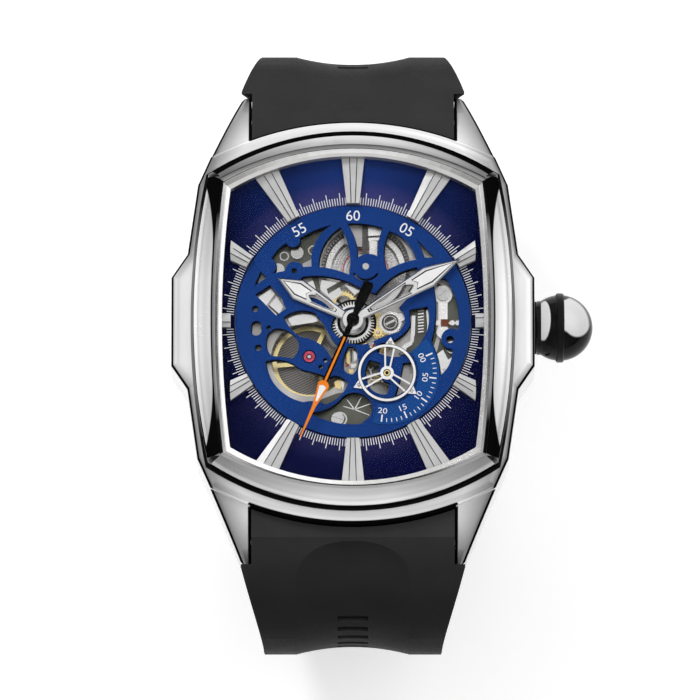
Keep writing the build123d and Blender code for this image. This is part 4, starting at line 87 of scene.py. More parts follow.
class Signal:
    """One output in a shader tree. Arithmetic with it adds maths nodes to that tree."""

    def __init__(self, socket):
        self.socket = socket
        self.tree = socket.id_data

    def __add__(self, other):
        return maths("ADD", self, other)

    def __sub__(self, other):
        return maths("SUBTRACT", self, other)

    def __rsub__(self, other):
        return maths("SUBTRACT", other, self)

    def __mul__(self, other):
        return maths("MULTIPLY", self, other)

    def __truediv__(self, other):
        return maths("DIVIDE", self, other)


def feed(socket, value):
    # a link from another node, or a plain number, place or colour
    if isinstance(value, Signal):
        socket.id_data.links.new(value.socket, socket)
    else:
        socket.default_value = value


def feed_named(node, values):
    for label, value in values.items():
        feed(node.inputs[label.replace("_", " ")], value)


def new_node(tree, kind, *values, **settings):
    node = tree.nodes.new("ShaderNode" + kind)
    for name, value in settings.items():
        setattr(node, name, value)
    for socket, value in zip(node.inputs, values):
        feed(socket, value)
    return node


def signals(node):
    return {socket.name: Signal(socket) for socket in node.outputs}


def maths(operation, *values):
    tree = next(value.tree for value in values if isinstance(value, Signal))
    return Signal(new_node(tree, "Math", *values, operation=operation).outputs[0])


def lesser(first, second):
    return maths("MINIMUM", first, second)


def greater(first, second):
    return maths("MAXIMUM", first, second)


def vector_maths(operation, first, *values):
    made = signals(new_node(first.tree, "VectorMath", first, *values, operation=operation))
    return made["Value"] if operation in ("LENGTH", "DOT_PRODUCT") else made["Vector"]


def flattened(vector):
    return vector_maths("MULTIPLY", vector, (1, 1, 0))


def split(vector):
    return list(signals(new_node(vector.tree, "SeparateXYZ", vector)).values())


def noise(vector, scale, detail):
    node = new_node(vector.tree, "TexNoise")
    feed_named(node, {"Vector": vector, "Scale": scale, "Detail": detail})
    return signals(node)["Fac"]


def mixed_colour(factor, first, second):
    node = new_node(factor.tree, "Mix", factor, data_type="RGBA")
    feed(node.inputs[6], first)
    feed(node.inputs[7], second)
    return Signal(node.outputs[2])


def ranged(value, low, high, to_low=0.0, to_high=1.0):
    return signals(new_node(value.tree, "MapRange", value, low, high, to_low, to_high))["Result"]


# Shader groups

SOCKET_KINDS = {float: "NodeSocketFloat", "VALUE": "NodeSocketFloat", 3: "NodeSocketVector",
                4: "NodeSocketColor", "RGBA": "NodeSocketColor"}


def new_group(name, inputs, build):
    # a node group from its inputs, with their defaults, and the function that makes its outputs
    tree = bpy.data.node_groups.new(name, "ShaderNodeTree")
    for label, value in inputs.items():
        kind = SOCKET_KINDS[float if isinstance(value, float) else len(value)]
        tree.interface.new_socket(label, in_out="INPUT", socket_type=kind).default_value = value
    results = build(signals(tree.nodes.new("NodeGroupInput")))
    for label, value in results.items():
        kind = SOCKET_KINDS[value.socket.type]
        tree.interface.new_socket(label, in_out="OUTPUT", socket_type=kind)
    feed_named(tree.nodes.new("NodeGroupOutput"), results)
    return tree


def polish_marks(given):
    # fine marks that a polishing or brushing wheel leaves: stretched noise for roughness and height
    fine = noise(vector_maths("MULTIPLY", given["Vector"], given["Stretch"]), given["Scale"], 4.0)
    broad = noise(given["Vector"], 180.0, 3.0)
    rough = ranged(fine * 0.6 + broad * 0.4, 0.3, 0.7, given["Rough Low"], given["Rough High"])
    return {"Roughness": rough, "Height": fine}


def tone_drift(given):
    # slow change between two tones of one finish
    spread = ranged(noise(given["Vector"], given["Scale"], 4.0), 0.35, 0.65)
    return {"Color": mixed_colour(spread, given["Tone A"], given["Tone B"])}


def turned_rings(given):
    # concentric tool marks round a centre
    flat = flattened(vector_maths("SUBTRACT", given["Vector"], given["Centre"]))
    radius = vector_maths("LENGTH", flat)
    wave = maths("SINE", radius / given["Pitch"] * (2 * pi))
    return {"Height": ranged(wave, -1.0, 1.0), "Radius": radius}


def outline_shade(given):
    # painted shade: how near a place is to the outline of the case, seen from the front, for a painted
    # dark line and a soft painted darker border
    place = vector_maths("ABSOLUTE", given["Vector"])
    x, y, _ = split(place)
    width = given["Line Width"]

    def inside(first, second):
        # distance to the left of the line between two corners
        start = Vector((*first, 0)) * MM
        along = (Vector((*second, 0)) * MM - start).normalized()
        normal = Vector((-along.y, along.x, 0))
        return vector_maths("DOT_PRODUCT", place, normal) - normal.dot(start)

    bump = lesser(inside((CASE_BUMP[0], -CASE_BUMP[1]), CASE_BUMP), inside(CASE_BUMP, CASE_SHOULDER))
    flank = lesser(inside(CASE_SHOULDER, CASE_FLANK), inside(CASE_FLANK, CASE_TIP))
    outline = greater(bump, flank)
    centre = Vector((0, CASE_END_Y - CASE_END_R, 0)) * MM
    from_centre = flattened(vector_maths("SUBTRACT", place, centre))
    before = greater(CASE_END_R * MM - vector_maths("LENGTH", from_centre), 0.0)
    beside = greater(x - CASE_SLOT_X * MM, 0.0)
    slot = maths("SQRT", beside * beside + before * before)
    facing = ranged(split(given["Normal"])[2], 0.12, 0.3)
    line = ranged(lesser(outline, slot), width, width * 1.25, 1.0, 0.0)
    in_slot = ranged(slot, 0.05 * MM, 0.1 * MM, 1.0, 0.0)
    reach_in = ranged(y, 10 * MM, 17 * MM, 1.7 * MM, 3.2 * MM)
    strength = ranged(y, 5.2 * MM, 9 * MM, 0.12, 0.72)
    border = ranged(outline, width, reach_in, 1.0, 0.0)
    return {"Line": greater(line * facing, in_slot), "Border": border * strength * facing,
            "Tip": ranged(y, 22.5 * MM, 25 * MM)}


def bezel_shade(given):
    # painted shade on the bezel: black slivers at the ends of the side faces, and how far each face
    # darkens inward and to its ends
    x, y, z = split(vector_maths("ABSOLUTE", given["Vector"]))
    upward = split(given["Normal"])[2]
    side = ranged(y - x * 0.5, 8.55 * MM, 8.65 * MM, 1.0, 0.0)
    behind = ranged(split(given["Vector"])[1], -1 * MM, 1 * MM)

    # the sliver widens from the middle of the side to its end
    from_inner = x - (BEZEL_SIDE_INNER_X * MM - y * y * BEZEL_SIDE_BEND)
    widen = ranged(y, 7.5 * MM, 16.5 * MM)
    from_sliver = from_inner - widen * widen * (1.75 * MM)
    sliver = ranged(from_sliver, 0.11 * MM, 0.2 * MM, 1.0, 0.0) * side * ranged(z, 12.2 * MM, 12.3 * MM)

    # the steep outer foot of the faces, and the upright walls at 12 and 6, are painted black too
    outward = ranged(vector_maths("DOT_PRODUCT", given["Normal"], flattened(given["Vector"])), 0.0, 1 * MM)
    end_limit = ranged(behind, 0.0, 1.0, 0.2, 0.84)
    limit = side * ranged(y, 9 * MM, 16 * MM, 0.3, 0.45) + (1.0 - side) * end_limit
    steep = ranged(upward, 0.06, 0.12) * maths("LESS_THAN", upward, limit)
    foot = outward * steep * ranged(z, 11.5 * MM, 11.6 * MM)
    end_wall = outward * ranged(upward, 0.1, 0.2, 1.0, 0.0) * ranged(side, 0.0, 1.0, 1.0, 0.0)

    side_shade = ranged(from_inner, 0.0, 2 * MM, 0.78, 1.0) * ranged(y, 4 * MM, 15 * MM, 1.0, 0.62)
    from_end = y - (BEZEL_END_INNER_Y * MM - x * x * BEZEL_END_BEND)
    end_low = ranged(behind, 0.0, 1.0, 0.55, 0.3)
    end_shade = ranged(from_end, 0.0, 1.7 * MM, 0.5, 1.0) * ranged(x, 4 * MM, 15 * MM, 1.0, end_low)
    return {"Sliver": greater(sliver, greater(foot, end_wall)),
            "Shade": ranged(side, 0.0, 1.0, end_shade, side_shade),
            "Corner": side * ranged(y, 9 * MM, 12.5 * MM)}


def light_patch(given):
    # painted reflection: an oval patch of a ball, chosen by the direction its surface faces
    across = vector_maths("SUBTRACT", given["Normal"], given["Centre"])
    flat = flattened(vector_maths("DIVIDE", across, given["Spread"]))
    return {"Mask": ranged(vector_maths("LENGTH", flat), 0.92, 1.0, 1.0, 0.0)}


PLACE = {"Vector": (0, 0, 0)}
FACING = {**PLACE, "Normal": (0, 0, 1)}
POLISH_MARKS = new_group("polish_marks", {
    **PLACE, "Scale": 4000.0, "Stretch": (1, 1, 1), "Rough Low": 0.1, "Rough High": 0.2}, polish_marks)
TONE_DRIFT = new_group("tone_drift", {
    **PLACE, "Scale": 250.0, "Tone A": (0.5, 0.5, 0.5, 1), "Tone B": (0.4, 0.4, 0.4, 1)}, tone_drift)
TURNED_RINGS = new_group("turned_rings", {**PLACE, "Centre": (0, 0, 0), "Pitch": 0.0003}, turned_rings)
OUTLINE_SHADE = new_group("outline_shade", {**FACING, "Line Width": 0.26 * MM}, outline_shade)
BEZEL_SHADE = new_group("bezel_shade", FACING, bezel_shade)
PAINTED_REFLECTION_PATCH = new_group("light_patch", {**FACING, "Centre": (0, 0, 0), "Spread": (1, 1, 1)}, light_patch)


# Materials

METAL_GRAIN = 5000.0
MARK_DEPTH = 0.000004
PAINTED_EDGE_SHADE = (0.02, 0.02, 0.022, 1)
WHITE = (0.86, 0.87, 0.88, 1)


class Finish:
    """A material under construction: its tree, its surface shader and its coordinates."""

    def __init__(self, name):
        self.material = bpy.data.materials.new(name)
        self.material.use_nodes = True
        self.tree = self.material.node_tree
        self.surface = self.tree.nodes["Principled BSDF"]
        self.place = self.read("TexCoord", "Object")

    def read(self, kind, label):
        return signals(new_node(self.tree, kind))[label]

    def use(self, group, **values):
        node = new_node(self.tree, "Group", node_tree=group)
        feed_named(node, {"Vector": self.place, **values})
        return signals(node)

    def set(self, **values):
        feed_named(self.surface, values)

    def marks(self, low, high, scale=4000.0, stretch=(1, 1, 1)):
        # roughness between two levels; the height of the marks is given back
        made = self.use(POLISH_MARKS, Scale=scale, Stretch=stretch, Rough_Low=low, Rough_High=high)
        self.set(Roughness=made["Roughness"])
        return made["Height"]

    def tone(self, tones, scale=250.0):
        return self.use(TONE_DRIFT, Tone_A=tones[0], Tone_B=tones[1], Scale=scale)["Color"]

    def bump(self, height, strength, distance=MARK_DEPTH):
        node = new_node(self.tree, "Bump")
        feed_named(node, {"Strength": strength, "Distance": distance, "Height": height})
        self.set(Normal=signals(node)["Normal"])

    def show(self, shader):
        feed(self.tree.nodes["Material Output"].inputs["Surface"], Signal(shader.outputs[0]))
        return self.material


def grey(value, warm=0.0):
    return (value * (1 + warm), value, value * (1 - warm), 1)


def greys(first, second, warm=0.0):
    return grey(first, warm), grey(second, warm)


def metal(name, tones, rough, stretch=(1, 1, 1), bump=0.004, shade=0.55, metallic=1.0):
    finish = Finish(name)
    height = finish.marks(*rough, METAL_GRAIN, stretch)
    # painted shade: the colour darkens toward black where the surface turns away from the view
    edge_shade = ranged(finish.read("LayerWeight", "Facing"), 0.55, 0.95, 0.0, shade)
    finish.set(Metallic=metallic, Base_Color=mixed_colour(edge_shade, finish.tone(tones), PAINTED_EDGE_SHADE))
    finish.bump(height, bump)
    return finish.material


def paint(name, tones, rough, bump=0.04, metallic=0.0, shine=0.15):
    finish = Finish(name)
    height = finish.marks(*rough)
    finish.set(Metallic=metallic, Base_Color=finish.tone(tones), Specular_IOR_Level=shine)
    finish.bump(height, bump, 0.000005)
    return finish.material


def case_steel():
    finish = Finish("case_steel_polished")
    height = finish.marks(0.2, 0.26)
    rim = finish.use(OUTLINE_SHADE, Normal=finish.read("NewGeometry", "Normal"))
    # painted shade: the steel darkens along the border of the outline and turns black on the outline line
    # and in the lug slots
    colour = mixed_colour(rim["Border"], finish.tone(greys(0.95, 0.92)), grey(0.04))
    bright = 1.0 - rim["Line"]
    finish.set(Metallic=bright * ranged(rim["Tip"], 0.0, 1.0, 0.45, 0.2), Specular_IOR_Level=bright * 0.2,
               Base_Color=mixed_colour(rim["Line"], colour, grey(0.003)))
    finish.bump(height, 0.02)
    return finish.material


def bezel_steel():
    finish = Finish("bezel_steel_polished")
    height = finish.marks(0.22, 0.28)
    shade = finish.use(BEZEL_SHADE, Normal=finish.read("NewGeometry", "Normal"))
    # painted shade: the bezel steel darkens as the shade says, and turns black on the slivers, the foot
    # and the upright walls
    colour = mixed_colour(shade["Shade"], grey(0.01), finish.tone(greys(0.95, 0.92)))
    bright = 1.0 - shade["Sliver"]
    finish.set(Metallic=bright * 0.45, Specular_IOR_Level=bright * 0.1,
               Base_Color=mixed_colour(shade["Sliver"], colour, grey(0.003)))
    finish.bump(height, 0.02)
    return finish.material


def grey_with_painted_shade(name, tones, dark):
    # matt grey with painted shade: it turns black where the given function of the finish says so
    finish = Finish(name)
    finish.marks(0.5, 0.7)
    colour = mixed_colour(dark(finish), finish.tone(tones), grey(0.004))
    finish.set(Base_Color=colour, Specular_IOR_Level=0.05)
    return finish.material


def shade_at_bezel_corner(finish):
    return finish.use(BEZEL_SHADE)["Corner"]


def shade_toward_ends(finish):
    return ranged(split(vector_maths("ABSOLUTE", finish.place))[1], 7 * MM, 14 * MM)


def crown_with_painted_reflection():
    # polished ball with its reflection painted on: near black, with a pale patch of painted reflection on
    # either side of its ring
    finish = Finish("crown_black_chrome")
    rough = finish.use(POLISH_MARKS, Rough_Low=0.1, Rough_High=0.16)
    normal = finish.read("NewGeometry", "Normal")

    def patch(centre, spread):
        return finish.use(PAINTED_REFLECTION_PATCH, Normal=normal, Centre=centre, Spread=spread)["Mask"]

    outer = patch((0.48, 0.24, 0), (0.48, 0.68, 1))
    near = patch((-0.5, 0.12, 0), (0.22, 0.66, 1))
    # painted reflection: pale where the ball would mirror the light, near black elsewhere
    pale = greater(outer, near) * patch((0, 0, 0), (0.92, 0.92, 1))
    finish.set(Base_Color=mixed_colour(pale, grey(0.004), finish.tone(greys(0.80, 0.74))),
               Metallic=pale * 0.15, Roughness=rough["Roughness"] + pale * 0.3, Specular_IOR_Level=0.12)
    finish.bump(rough["Height"], 0.02)
    return finish.material


def dial_blue():
    # navy lacquer with painted light: lighter above, nearly black below and darker toward the sides, with
    # a painted violet sheen over and under the lattice
    finish = Finish("dial_blue_lacquer")
    finish.marks(0.26, 0.34, 3000.0)
    rings = finish.use(TURNED_RINGS, Pitch=0.25 * MM)
    x, y, _ = split(finish.place)
    height = ranged(y, -19 * MM, 19 * MM)
    side = ranged(maths("ABSOLUTE", x), 2 * MM, 15 * MM)
    # painted light and shade: lighter above, nearly black below, darker toward the sides
    middle = mixed_colour(height, (0.0012, 0.0018, 0.036, 1), (0.0105, 0.0340, 0.180, 1))
    edge_shade = mixed_colour(height, (0.0005, 0.0005, 0.022, 1), (0.0006, 0.0026, 0.036, 1))
    # painted sheen: a violet haze in a band round the lattice, strongest toward 12 and 6
    glow = ranged(rings["Radius"], 14.5 * MM, 17.2 * MM, 1.0, 0.0)
    upright = ranged(maths("ABSOLUTE", y), 8 * MM, 15.5 * MM)
    painted_sheen = glow * upright * ranged(y, -12 * MM, 12 * MM, 0.3, 0.8)
    colour = mixed_colour(painted_sheen, mixed_colour(side, middle, edge_shade), (0.066, 0.052, 0.17, 1))
    finish.set(Base_Color=colour, Specular_IOR_Level=0.03)
    finish.bump(rings["Height"], 0.03, 0.000002)
    return finish.material


def lattice_blue(name, tones):
    finish = Finish(name)
    height = finish.marks(0.3, 0.45, 6000.0)
    finish.set(Base_Color=finish.tone(tones, 120.0), Specular_IOR_Level=0.05)
    finish.bump(height, 0.012)
    return finish.material


def clear_crystal():
    # coated crystal: clear to the lamps, with only a faint reflection
    finish = Finish("crystal_clear")
    finish.marks(0.0, 0.01, 800.0)
    finish.set(Base_Color=(1, 1, 1, 1), Transmission_Weight=1.0, Metallic=0.0, IOR=1.08)
    path = signals(new_node(finish.tree, "LightPath"))
    seen = greater(path["Is Shadow Ray"], path["Is Diffuse Ray"])
    glass = Signal(finish.surface.outputs[0])
    clear = Signal(new_node(finish.tree, "BsdfTransparent").outputs[0])
    return finish.show(new_node(finish.tree, "MixShader", seen, glass, clear))


def ruby():
    finish = Finish("ruby")
    finish.marks(0.03, 0.1, 2500.0)
    tones = ((0.55, 0.01, 0.05, 1), (0.78, 0.05, 0.16, 1))
    finish.set(Base_Color=finish.tone(tones, 1500.0), Coat_Weight=1.0)
    return finish.material


def striped_ground():
    # brushed grey with fine curved stripes
    finish = Finish("striped_ground")
    finish.marks(0.35, 0.5)
    rings = finish.use(TURNED_RINGS, Centre=(-12 * MM, 6 * MM, 0), Pitch=0.27 * MM)
    finish.set(Metallic=0.4, Base_Color=mixed_colour(rings["Height"], grey(0.13, 0.06), grey(0.36, 0.04)))
    return finish.material


def strap_rubber():
    # black rubber with painted shade: palest where it lies flat, darker where it turns steep
    finish = Finish("strap_rubber")
    height = finish.marks(0.42, 0.58, 3200.0)
    upward = split(finish.read("NewGeometry", "Normal"))[2]
    tone = finish.tone(greys(0.032, 0.040), 160.0)
    finish.set(Base_Color=mixed_colour(ranged(upward, 0.35, 0.95), grey(0.008), tone),
               Specular_IOR_Level=ranged(upward, 0.55, 0.98, 0.03, 0.12))
    finish.bump(height, 0.12, 0.00002)
    return finish.material


CASE_STEEL = case_steel()
BEZEL_STEEL = bezel_steel()
BLACK_INLAY = paint("black_inlay_gloss", greys(0.004, 0.008), (0.12, 0.25), shine=0.3)
# black rubber of the seals, also the painted shadow in the lug gaps
SEAL_AND_SHADOW_BLACK = paint("seal_rubber", greys(0.004, 0.008), (0.5, 0.7), shine=0.05)
# painted shade: the crystal gasket turns black toward the corners of the bezel
GASKET_GREY = grey_with_painted_shade("gasket_grey", greys(0.42, 0.38), shade_at_bezel_corner)
# painted shadow: the bezel seam, darker toward the ends
SEAM_SHADOW_GREY = grey_with_painted_shade("seam_grey", greys(0.24, 0.20), shade_toward_ends)
LIP_STEEL = metal("lip_steel_polished", greys(0.82, 0.74, 0.01), (0.12, 0.2), shade=0.1)
INDEX_STEEL = metal("index_steel_satin", greys(0.60, 0.52), (0.3, 0.36), bump=0.0, metallic=0.35)
PRINT_WHITE = paint("print_white", (WHITE, (0.78, 0.80, 0.82, 1)), (0.4, 0.55), bump=0.05)
PLATE_NICKEL = metal("plate_nickel_matt", greys(0.50, 0.38, 0.03), (0.32, 0.5))
BRIDGE_NICKEL = metal("bridge_nickel", greys(0.62, 0.5, 0.02), (0.22, 0.38))
SCREW_STEEL = metal("screw_steel", greys(0.62, 0.5), (0.14, 0.25))
WHEEL_BRASS = metal("wheel_brass_gilt", ((0.83, 0.68, 0.33, 1), (0.76, 0.6, 0.27, 1)), (0.2, 0.32))
WHEEL_STEEL = metal("wheel_steel", greys(0.88, 0.76, 0.01), (0.22, 0.3), bump=0.0, metallic=0.7)
BALANCE_GOLD = metal("balance_gold", ((0.90, 0.78, 0.42, 1), (0.84, 0.70, 0.34, 1)), (0.16, 0.26))
SPRING_STEEL = metal("spring_steel", greys(0.86, 0.72, 0.01), (0.2, 0.26), bump=0.0, metallic=0.7)
HAND_STEEL = metal("hand_steel_polished", greys(0.80, 0.72), (0.14, 0.22))
DARK_STEEL = metal("dark_steel", greys(0.10, 0.07, 0.03), (0.25, 0.4))
PLATE_DARK = metal("plate_dark_grey", ((0.115, 0.12, 0.10, 1), (0.085, 0.088, 0.075, 1)), (0.35, 0.5))
BLOCK_BROWN = metal("block_brown", ((0.16, 0.06, 0.035, 1), (0.10, 0.04, 0.03, 1)), (0.25, 0.4))
HAND_PANEL = paint("hand_panel_white", greys(0.86, 0.80), (0.3, 0.45), metallic=0.2)
# dark lines of hands and print, also the painted shadow under the lattice
DARK_LINE_AND_SHADOW = paint("hand_line_dark", greys(0.006, 0.012), (0.45, 0.6), shine=0.04)
SECONDS_BLACK = paint("seconds_black", greys(0.002, 0.004), (0.35, 0.5), shine=0.03)
SECONDS_ORANGE = paint("seconds_orange", ((0.87, 0.24, 0.012, 1), (0.80, 0.20, 0.01, 1)), (0.3, 0.45))
ROTOR_METAL = metal("rotor_metal", greys(0.55, 0.45, 0.02), (0.2, 0.34))
CROWN_METAL = crown_with_painted_reflection()
CROWN_RUBBER = paint("crown_rubber", greys(0.002, 0.005), (0.25, 0.4), shine=0.12)
BUCKLE_STEEL = metal("buckle_steel_brushed", greys(0.62, 0.52), (0.22, 0.36), stretch=(1, 12, 12))
DIAL_BLUE = dial_blue()
LATTICE_BLUE = lattice_blue("lattice_blue", ((0.007, 0.044, 0.215, 1), (0.006, 0.038, 0.19, 1)))
SCALE_BLUE = lattice_blue("scale_blue", ((0.009, 0.068, 0.27, 1), (0.008, 0.057, 0.235, 1)))
CRYSTAL = clear_crystal()
RUBY = ruby()
STRAP_RUBBER = strap_rubber()
STRIPED_GROUND = striped_ground()

NODE_FINISHES = (
    (CASE_STEEL, "case_middle case_back crown_tube"),
    (BEZEL_STEEL, "bezel"),
    (BLACK_INLAY, "bezel_inlays"),
    (CRYSTAL, "crystal case_back_crystal"),
    (GASKET_GREY, "crystal_gasket"),
    (SEAL_AND_SHADOW_BLACK, "case_back_gasket"),
    (DIAL_BLUE, "dial_plate"),
    (INDEX_STEEL, "hour_indexes"),
    (LATTICE_BLUE, "dial_lattice"),
    (SCALE_BLUE, "seconds_scale"),
    (PLATE_NICKEL, "main_plate movement_holder"),
    (BRIDGE_NICKEL, "barrel_bridge train_bridge balance_cock pallet_bridge"),
    (SCREW_STEEL, "bridge_screws case_back_screws barrel_arbor balance_staff rotor_bearing spring_bars"),
    (RUBY, "plate_jewels pallet_stones"),
    (SPRING_STEEL, "mainspring hairspring"),
    (WHEEL_STEEL, "barrel_drum centre_wheel cannon_pinion hour_wheel seconds_pinion escape_wheel"),
    (WHEEL_STEEL, "pallet_fork ratchet_wheel crown_wheel click winding_pinion sliding_pinion"),
    (WHEEL_STEEL, "winding_stem setting_lever"),
    (WHEEL_BRASS, "minute_wheel third_wheel fourth_wheel"),
    (BALANCE_GOLD, "balance_wheel"),
    (HAND_STEEL, "hour_hand minute_hand"),
    (SECONDS_BLACK, "seconds_hand"),
    (HAND_PANEL, "small_seconds_hand"),
    (ROTOR_METAL, "rotor_web rotor_weight"),
    (CROWN_METAL, "crown"),
    (CROWN_RUBBER, "crown_ring"),
    (STRAP_RUBBER, "strap_12 strap_6 strap_keepers"),
    (BUCKLE_STEEL, "buckle_frame buckle_tongue"))


def dress_nodes():
    for material, names in NODE_FINISHES:
        for name in names.split():
            materials = NODES[name].data.materials
            materials.clear()
            materials.append(material)


# Mesh helpers, in millimetres

def polar(r, angle, x=0.0, y=0.0):
    return (x + r * cos(radians(angle)), y + r * sin(radians(angle)))


def circle(r, steps, x=0.0, y=0.0):
    return [polar(r, i * 360 / steps, x, y) for i in range(steps)]


def placed(points, angle, x=0.0, y=0.0):
    turn = radians(angle)
    return [(x + u * cos(turn) - v * sin(turn), y + u * sin(turn) + v * cos(turn)) for u, v in points]


def mirrored(points):
    return points + [(u, -v) for u, v in reversed(points) if abs(v) > 1e-9]


def scaled(shares, length):
    return [(u * length, v * length) for u, v in shares]


def bar(start, end, half_width):
    return [(start, -half_width), (end, -half_width), (end, half_width), (start, half_width)]


def box(x1, x2, y1, y2):
    return [(x1, y1), (x2, y1), (x2, y2), (x1, y2)]


def slab(mesh, points, low, high):
    # closed prism over a polygon; low and high are heights, or functions of x and y
    lower = low if callable(low) else lambda x, y: low
    upper = high if callable(high) else lambda x, y: high
    bottom = [mesh.verts.new((x, y, lower(x, y))) for x, y in points]
    top = [mesh.verts.new((x, y, upper(x, y))) for x, y in points]
    mesh.faces.new(list(reversed(bottom)))
    mesh.faces.new(top)
    for i in range(len(points)):
        mesh.faces.new((bottom[i - 1], bottom[i], top[i], top[i - 1]))


def loft(mesh, loops):
    # closed strip through loops of equal length, the last joined to the first
    rows = [[mesh.verts.new(point) for point in row] for row in loops]
    for row, following in zip(rows, rows[1:] + rows[:1]):
        for i in range(len(row)):
            mesh.faces.new((row[i - 1], row[i], following[i], following[i - 1]))


def lofted(mesh, sections):
    # closed strip through flat loops, each with its height
    loft(mesh, [[(x, y, z) for x, y in points] for points, z in sections])


def ring_between(mesh, inner, outer, low, high):
    lofted(mesh, [(inner, low), (outer, low), (outer, high), (inner, high)])


def disc(mesh, x, y, radius, low, high, steps=32):
    slab(mesh, circle(radius, steps, x, y), low, high)


def circle_ring(mesh, x, y, inner, outer, low, high, steps=72):
    ring_between(mesh, circle(inner, steps, x, y), circle(outer, steps, x, y), low, high)


TOOTH_SHAPE = (0.0, 0.5, 0.62, 0.88)


def toothed_ring(mesh, x, y, inner, root, tip, teeth, low, high):
    # the first two shares of a tooth's pitch lie at its root, the others at its tip
    outline = []
    bore = []
    for i in range(teeth):
        for share, radius in zip(TOOTH_SHAPE, (root, root, tip, tip)):
            angle = (i + share) * 360 / teeth
            outline.append(polar(radius, angle, x, y))
            bore.append(polar(inner, angle, x, y))
    ring_between(mesh, bore, outline, low, high)


def piece(name, mesh, material, body):
    bmesh.ops.recalc_face_normals(mesh, faces=mesh.faces)
    data = bpy.data.meshes.new(name)
    mesh.to_mesh(data)
    mesh.free()
    data.transform(Matrix.Scale(MM, 4))
    data.materials.append(material)
    for face in data.polygons:
        face.use_smooth = False
    made = bpy.data.objects.new(name, data)
    bpy.context.scene.collection.objects.link(made)
    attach(made, body)
    return made


def plates(name, outlines, low, high, material, slot, body="case"):
    mesh = bmesh.new()
    for outline in outlines:
        slab(mesh, outline, low, high)
    return piece(name, mesh, material, body)


def add_text(mesh, words, size, place, low, high, angle, stretch=1.0):
    # raised lettering, centred on its place
    curve = bpy.data.curves.new("words", "FONT")
    curve.body = words
    curve.size = size
    curve.align_x = "CENTER"
    curve.align_y = "CENTER"
    curve.resolution_u = 4
    curve.extrude = (high - low) / 2
    holder = bpy.data.objects.new("words", curve)
    bpy.context.scene.collection.objects.link(holder)
    data = bpy.data.meshes.new_from_object(holder)
    turn = Matrix.Translation((*place, (low + high) / 2)) @ Matrix.Rotation(radians(angle), 4, "Z")
    data.transform(turn @ Matrix.Diagonal((stretch, 1, 1, 1)))
    mesh.from_mesh(data)
    bpy.data.objects.remove(holder)
    bpy.data.curves.remove(curve)
    bpy.data.meshes.remove(data)


# Outlines of the dial and bezel: half widths at the middle and the corner, half heights there
APERTURE = (15.4, 14.4, 15.4, 19.4)
BEZEL = (18.8, 17.0, 17.2, 22.4)
ARC_STEPS = 24


def arc(start, middle, end):
    # points on the circle through three points, without the last
    ax, ay = start
    bx, by = middle
    cx, cy = end
    double = 2 * (ax * (by - cy) + bx * (cy - ay) + cx * (ay - by))
    a2, b2, c2 = ax * ax + ay * ay, bx * bx + by * by, cx * cx + cy * cy
    x = (a2 * (by - cy) + b2 * (cy - ay) + c2 * (ay - by)) / double
    y = (a2 * (cx - bx) + b2 * (ax - cx) + c2 * (bx - ax)) / double
    radius = hypot(ax - x, ay - y)
    first = degrees(atan2(ay - y, ax - x))
    sweep = (degrees(atan2(cy - y, cx - x)) - first + 180) % 360 - 180
    return [polar(radius, first + sweep * i / ARC_STEPS, x, y) for i in range(ARC_STEPS)]


def tonneau(sizes, margin):
    mid_x, corner_x, corner_y, mid_y = (size + margin for size in sizes)
    corners = [(corner_x, -corner_y), (corner_x, corner_y), (-corner_x, corner_y), (-corner_x, -corner_y)]
    middles = [(mid_x, 0), (0, mid_y), (-mid_x, 0), (0, -mid_y)]
    points = []
    for i in range(4):
        points += arc(corners[i], middles[i], corners[(i + 1) % 4])
    return points


def tonneau_ring(sizes, section):
    # ring round an outline; the section is a closed list of margins and heights
    mesh = bmesh.new()
    lofted(mesh, [(tonneau(sizes, margin), z) for margin, z in section])
    return mesh


# Seams and seats of the case, with painted shadow in the seam and the lug gaps

SEAT_SECTION = [(0.0, 11.71), (0.01, 11.76), (0.40, 11.84), (0.78, 12.08), (0.78, 11.71)]
SEAM_SECTION = [(-0.05, 10.21), (0.3, 10.21), (0.26, 10.5), (-0.05, 10.62)]
CROWN_Z = 5.5
CROWN_SEAT_R = (1.35, 3.1)
CROWN_SEAT_X = (21.3, 21.66)
SLOT_SHADOW = box(11.86, 12.07, 19.6, 27.4)
SLOT_SHADOW_Z = (0.2, 1.2)


def crystal_seat():
    # polished slope that shows under the edge of the crystal
    piece("crystal_seat", tonneau_ring(APERTURE, SEAT_SECTION), LIP_STEEL, "case")


def bezel_seam():
    # dark ring in the joint between the bezel and the case, a painted shadow of the gap
    piece("bezel_seam", tonneau_ring(BEZEL, SEAM_SECTION), SEAM_SHADOW_GREY, "case")


def crown_seat():
    # black seal between the case and the crown
    mesh = bmesh.new()
    inner, outer = (circle(r, 48, 0.0, CROWN_Z) for r in CROWN_SEAT_R)
    near, far = CROWN_SEAT_X
    loft(mesh, [[(x, y, z) for y, z in points]
                for points, x in ((inner, near), (outer, near), (outer, far), (inner, far))])
    piece("crown_seat", mesh, SEAL_AND_SHADOW_BLACK, "case")


def slot_shadow():
    # painted shadow: dark strips in the narrow gaps between the lugs and the strap
    strips = [[(side * x, end * y) for x, y in SLOT_SHADOW] for side in (-1, 1) for end in (-1, 1)]
    plates("slot_shadow", strips, *SLOT_SHADOW_Z, SEAL_AND_SHADOW_BLACK, "seal_rubber")


# Hour indexes

